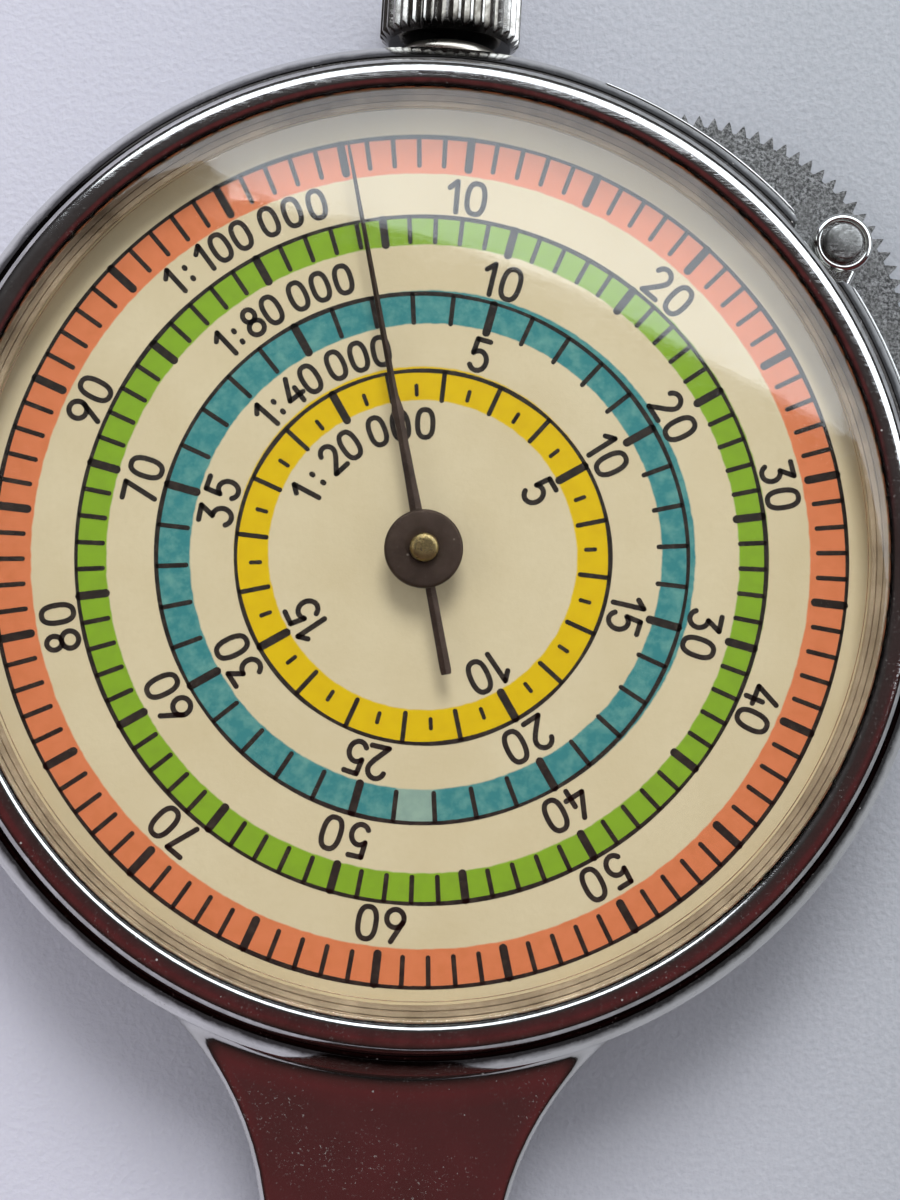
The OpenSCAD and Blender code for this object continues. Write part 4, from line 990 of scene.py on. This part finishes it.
def lengthwise(profile, columns=96):
    """A closed profile of (r, y) points carried round the stem's axis."""
    profile = np.asarray(profile, float)
    turn = np.linspace(0, 2 * np.pi, columns, endpoint=False)[:, None]
    r = profile[None, :, 0]
    y = profile[None, :, 1] + 0 * turn
    return (np.stack([r * np.cos(turn), y, STEM_Z + r * np.sin(turn)], axis=-1), True, True, None)


# Its ring of painted shade darkens the crown's end face and chamfer, next to the band
CROWN = metal("plated_crown", (0.60, 0.58, 0.54, 1), (0.26, 0.24, 0.21, 1), 0.08, 0.22,
              haze_size=1.6, hairlines=0.7, dust=0.8, relief=0.06, shade_rings=((22.0, 0.75, 1.8),), over=0)
dress(surface("crown_knob", [fluted()], sharp=24), CROWN, "crown_set", "plated_metal", "crown")
tube_low, tube_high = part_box("crown_tube")
flange_r = (tube_high.x - tube_low.x) / 2 / MM
tube_from = tube_low.y / MM
tube_to = tube_high.y / MM
TUBE_BORE = 0.58
TUBE_R = 1.74
tube_profile = np.vstack([
    [[TUBE_BORE, tube_from], [flange_r, tube_from], [flange_r, tube_from + 0.35], [TUBE_R, tube_from + 0.36]],
    [[TUBE_R, CASE_R + 0.08]],
    arc((1.85, tube_to - 0.4), 0.38, -80, 90, 16),
    [[TUBE_BORE, tube_to]],
])
NECK = metal("plated_neck", (0.76, 0.70, 0.60, 1), (0.52, 0.47, 0.39, 1), 0.24, 0.36, 0.9, 0.7, 0.6, 0.06)
dress(surface("crown_neck", [lengthwise(tube_profile)]), NECK, "case", "plated_metal", "crown_tube")

# The stud: a small plated rivet in the lug, over the wheel's outermost point, that marks where it touches.
stud_low, stud_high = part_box("index_stud")
stud_foot = stud_low.z / MM
stud_z = stud_high.z / MM
stud_profile = np.vstack([
    [[0, stud_foot], [0.63, stud_foot], [0.65, stud_foot + 0.02], [0.65, LUG_Z], [LUG_BORE, LUG_Z]],
    [[LUG_BORE, STUD_SEAT], [0.78, STUD_SEAT], [0.82, LUG_TOP - 0.2]],
    arc((0.82 - 0.14, stud_z - 0.18), 0.14, 0, 80, 7),
    [[0.66, stud_z - 0.038], [0.6, stud_z - 0.03], [0.3, stud_z - 0.008], [0, stud_z]],
])
WORN = metal("worn_stud", (0.3, 0.295, 0.28, 1), (0.09, 0.088, 0.08, 1), 0.2, 0.36, 2.2, 1.0, 0.8, 0.3)
dress(surface("stud", [turned(stud_profile, LUG_AT, 64)]), WORN, "case", "plated_metal", "index_stud")

# The table, the lights and the camera. The table is pale and finely grained. The camera stands where the
# photograph was taken from, and looks almost straight down.
CAMERA_TURN = (-0.0840, 0.0475, -0.0563)
turn_x, turn_y, turn_z = (Matrix.Rotation(angle, 3, axis) for angle, axis in zip(CAMERA_TURN, "XYZ"))
DIAL_TO_CAMERA = turn_x @ turn_y @ turn_z
CAMERA_SHIFT = Vector((-1.1397, 1.9089, -93.9127))
FOCAL_PIXELS = 2300.0
PHOTO_WIDE = 900
PHOTO_HIGH = 1200
SENSOR = 36.0
eye = (-(DIAL_TO_CAMERA.transposed() @ CAMERA_SHIFT) + Vector((0, 0, DIAL_Z))) * MM
camera_data = bpy.data.cameras.new("camera")
camera_data.sensor_width = SENSOR
camera_data.lens = SENSOR * FOCAL_PIXELS / PHOTO_HIGH
camera_data.clip_start = 0.005
camera_data.clip_end = 20.0
camera = bpy.data.objects.new("camera", camera_data)
bpy.context.scene.collection.objects.link(camera)
camera.matrix_world = Matrix.Translation(eye) @ DIAL_TO_CAMERA.transposed().to_4x4()
bpy.context.scene.camera = camera


def table_paint():
    """Pale matt paint, cooler towards one side, with a fine leathery grain in its colour and its relief. It
    is painted darker towards the right and the far side, a painted fall-off of light.
    """
    material, tree, surface_out = blank("table_paint")
    place = millimetres(tree)
    grain = noise(tree, place, 4.2, 3.0, 0.6)
    pores = put(tree, "TexVoronoi", {"Vector": place, "Scale": 3.4, "Randomness": 1.0}).outputs["Distance"]
    cloud = noise(tree, place, 0.02, 3.0)
    axes = put(tree, "SeparateXYZ", {0: place}).outputs
    across = calc(tree, "ADD", calc(tree, "MULTIPLY", axes[0], 0.9), calc(tree, "MULTIPLY", axes[1], 0.25))
    # Painted fall-off of light: darker towards the right and the far side
    base = mixed(tree, between(tree, across, -20, 21), shade(204, 203, 219), shade(156, 161, 168))
    base = mixed(tree, between(tree, grain, 0.35, 0.65, 0.0, 0.2), base, shade(216, 216, 222))
    base = mixed(tree, between(tree, cloud, 0.35, 0.65, 0.0, 0.2), base, shade(198, 200, 202))
    height = calc(tree, "ADD", grain, calc(tree, "MULTIPLY", pores, 0.5))
    shaded(tree, surface_out, {"Base Color": base, "Roughness": 0.55, "Normal": bumped(tree, height, 0.45)})
    return material


def sheet_at(name, corners, material):
    """A flat sheet through its corners, in millimetres."""
    mesh = bpy.data.meshes.new(name)
    mesh.from_pydata([tuple(c * MM for c in corner) for corner in corners], [], [tuple(range(len(corners)))])
    mesh.materials.append(material)
    sheet = bpy.data.objects.new(name, mesh)
    bpy.context.scene.collection.objects.link(sheet)
    return sheet


TABLE_HALF = 900
table_corners = [(x * TABLE_HALF, y * TABLE_HALF, 0) for x, y in ((-1, -1), (1, -1), (1, 1), (-1, 1))]
sheet_at("table", table_corners, table_paint())


def glow(name, colour, strength):
    """A plain glowing card."""
    material, tree, surface_out = blank(name)
    light = put(tree, "Emission", {"Color": colour, "Strength": strength})
    tree.links.new(light.outputs[0], surface_out)
    return material


def only_reflected(card):
    """A card that is seen in polished surfaces alone and sheds no light."""
    card.visible_camera = False
    card.visible_diffuse = False
    card.visible_shadow = False


def reflected_from(x, y, height):
    """Where the photograph's point (x, y), seen on the crystal's dome, comes from on a plane above."""
    seen_at = Vector(((x - PHOTO_WIDE / 2) / FOCAL_PIXELS, (PHOTO_HIGH / 2 - y) / FOCAL_PIXELS, -1.0))
    ray = (DIAL_TO_CAMERA.transposed() @ seen_at).normalized()
    start = eye / MM
    middle = Vector((0, 0, CRYSTAL_TOP - dome_r))
    away = start - middle
    half_b = away.dot(ray)
    near = -half_b - math.sqrt(half_b ** 2 - away.length_squared + dome_r ** 2)
    hit = start + ray * near
    up = (hit - middle).normalized()
    back = ray - 2 * ray.dot(up) * up
    return hit + back * ((height - hit.z) / back.z)


# The window is a card high over the object. One edge of it is where the lower edge of the glare, given in the
# photograph's pixels, is mirrored from.
WINDOW_HIGH = 150.0
GLARE_EDGE = (
    (172, 135), (195, 157), (250, 190), (300, 210), (360, 217), (475, 250), (575, 287), (675, 342),
    (765, 388), (867, 447),
)
WINDOW_FAR = ((160, 15), (330, -30), (360, 120), (240, 262), (-200, 262), (-170, 200))
window = [tuple(reflected_from(x, y, WINDOW_HIGH)) for x, y in GLARE_EDGE]
window += [(x, y, WINDOW_HIGH) for x, y in WINDOW_FAR]
only_reflected(sheet_at("window_card", window, glow("window_glow", (0.82, 0.89, 0.98, 1), 3.6)))

# Two soft lamps: a strong one beyond the crown and a weak one at the left. Metal mirrors neither.
LAMPS = (("key", (0.0, 0.47, 0.6), 0.3, 3.95), ("fill", (-0.5, 0.1, 0.6), 0.4, 0.6))
for name, place, size, power in LAMPS:
    lamp = bpy.data.lights.new(name, "AREA")
    lamp.size = size
    lamp.energy = power
    stand = bpy.data.objects.new(name, lamp)
    bpy.context.scene.collection.objects.link(stand)
    aim = Vector((0, 0, 0)) - Vector(place)
    stand.matrix_world = Matrix.Translation(place) @ aim.to_track_quat("-Z", "Y").to_matrix().to_4x4()
    stand.visible_glossy = False

# The room is what polished metal mirrors: dark red on the near side, nearly black overhead and low down, and
# grey on the far side. Dull surfaces are lit by a plain grey instead.
world = bpy.data.worlds.new("room")
bpy.context.scene.world = world
world.use_nodes = True
room = world.node_tree
room.nodes.clear()
way = put(room, "SeparateXYZ", {0: put(room, "TexCoord").outputs["Generated"]}).outputs
bands = put(room, "ValToRGB", {0: between(room, way[1], -1.0, 1.0)})
stops = bands.color_ramp.elements
stops[0].position = 0.0
stops[0].color = (0.07, 0.025, 0.024, 1)
stops[1].position = 1.0
stops[1].color = (0.26, 0.27, 0.27, 1)
ROOM_TONES = (
    (0.28, (0.115, 0.026, 0.028, 1)), (0.42, (0.10, 0.026, 0.028, 1)), (0.5, (0.055, 0.03, 0.03, 1)),
    (0.6, (0.05, 0.043, 0.043, 1)), (0.9, (0.10, 0.10, 0.11, 1)),
)
for position, colour in ROOM_TONES:
    stop = stops.new(position)
    stop.color = colour
rays = put(room, "LightPath").outputs
dark_low = mixed(room, between(room, way[2], 0.05, 0.6), (0.012, 0.01, 0.01, 1), bands.outputs[0])
mirrored = calc(room, "MAXIMUM", rays["Is Glossy Ray"], rays["Is Transmission Ray"])
seen = mixed(room, mirrored, (0.5, 0.5, 0.52, 1), dark_low)
seen = mixed(room, rays["Is Camera Ray"], seen, (0.6, 0.6, 0.64, 1))
sky = put(room, "Background", {"Color": seen, "Strength": 1.0})
room.links.new(sky.outputs[0], put(room, "OutputWorld").inputs["Surface"])
bpy.context.scene.view_settings.view_transform = "Standard"
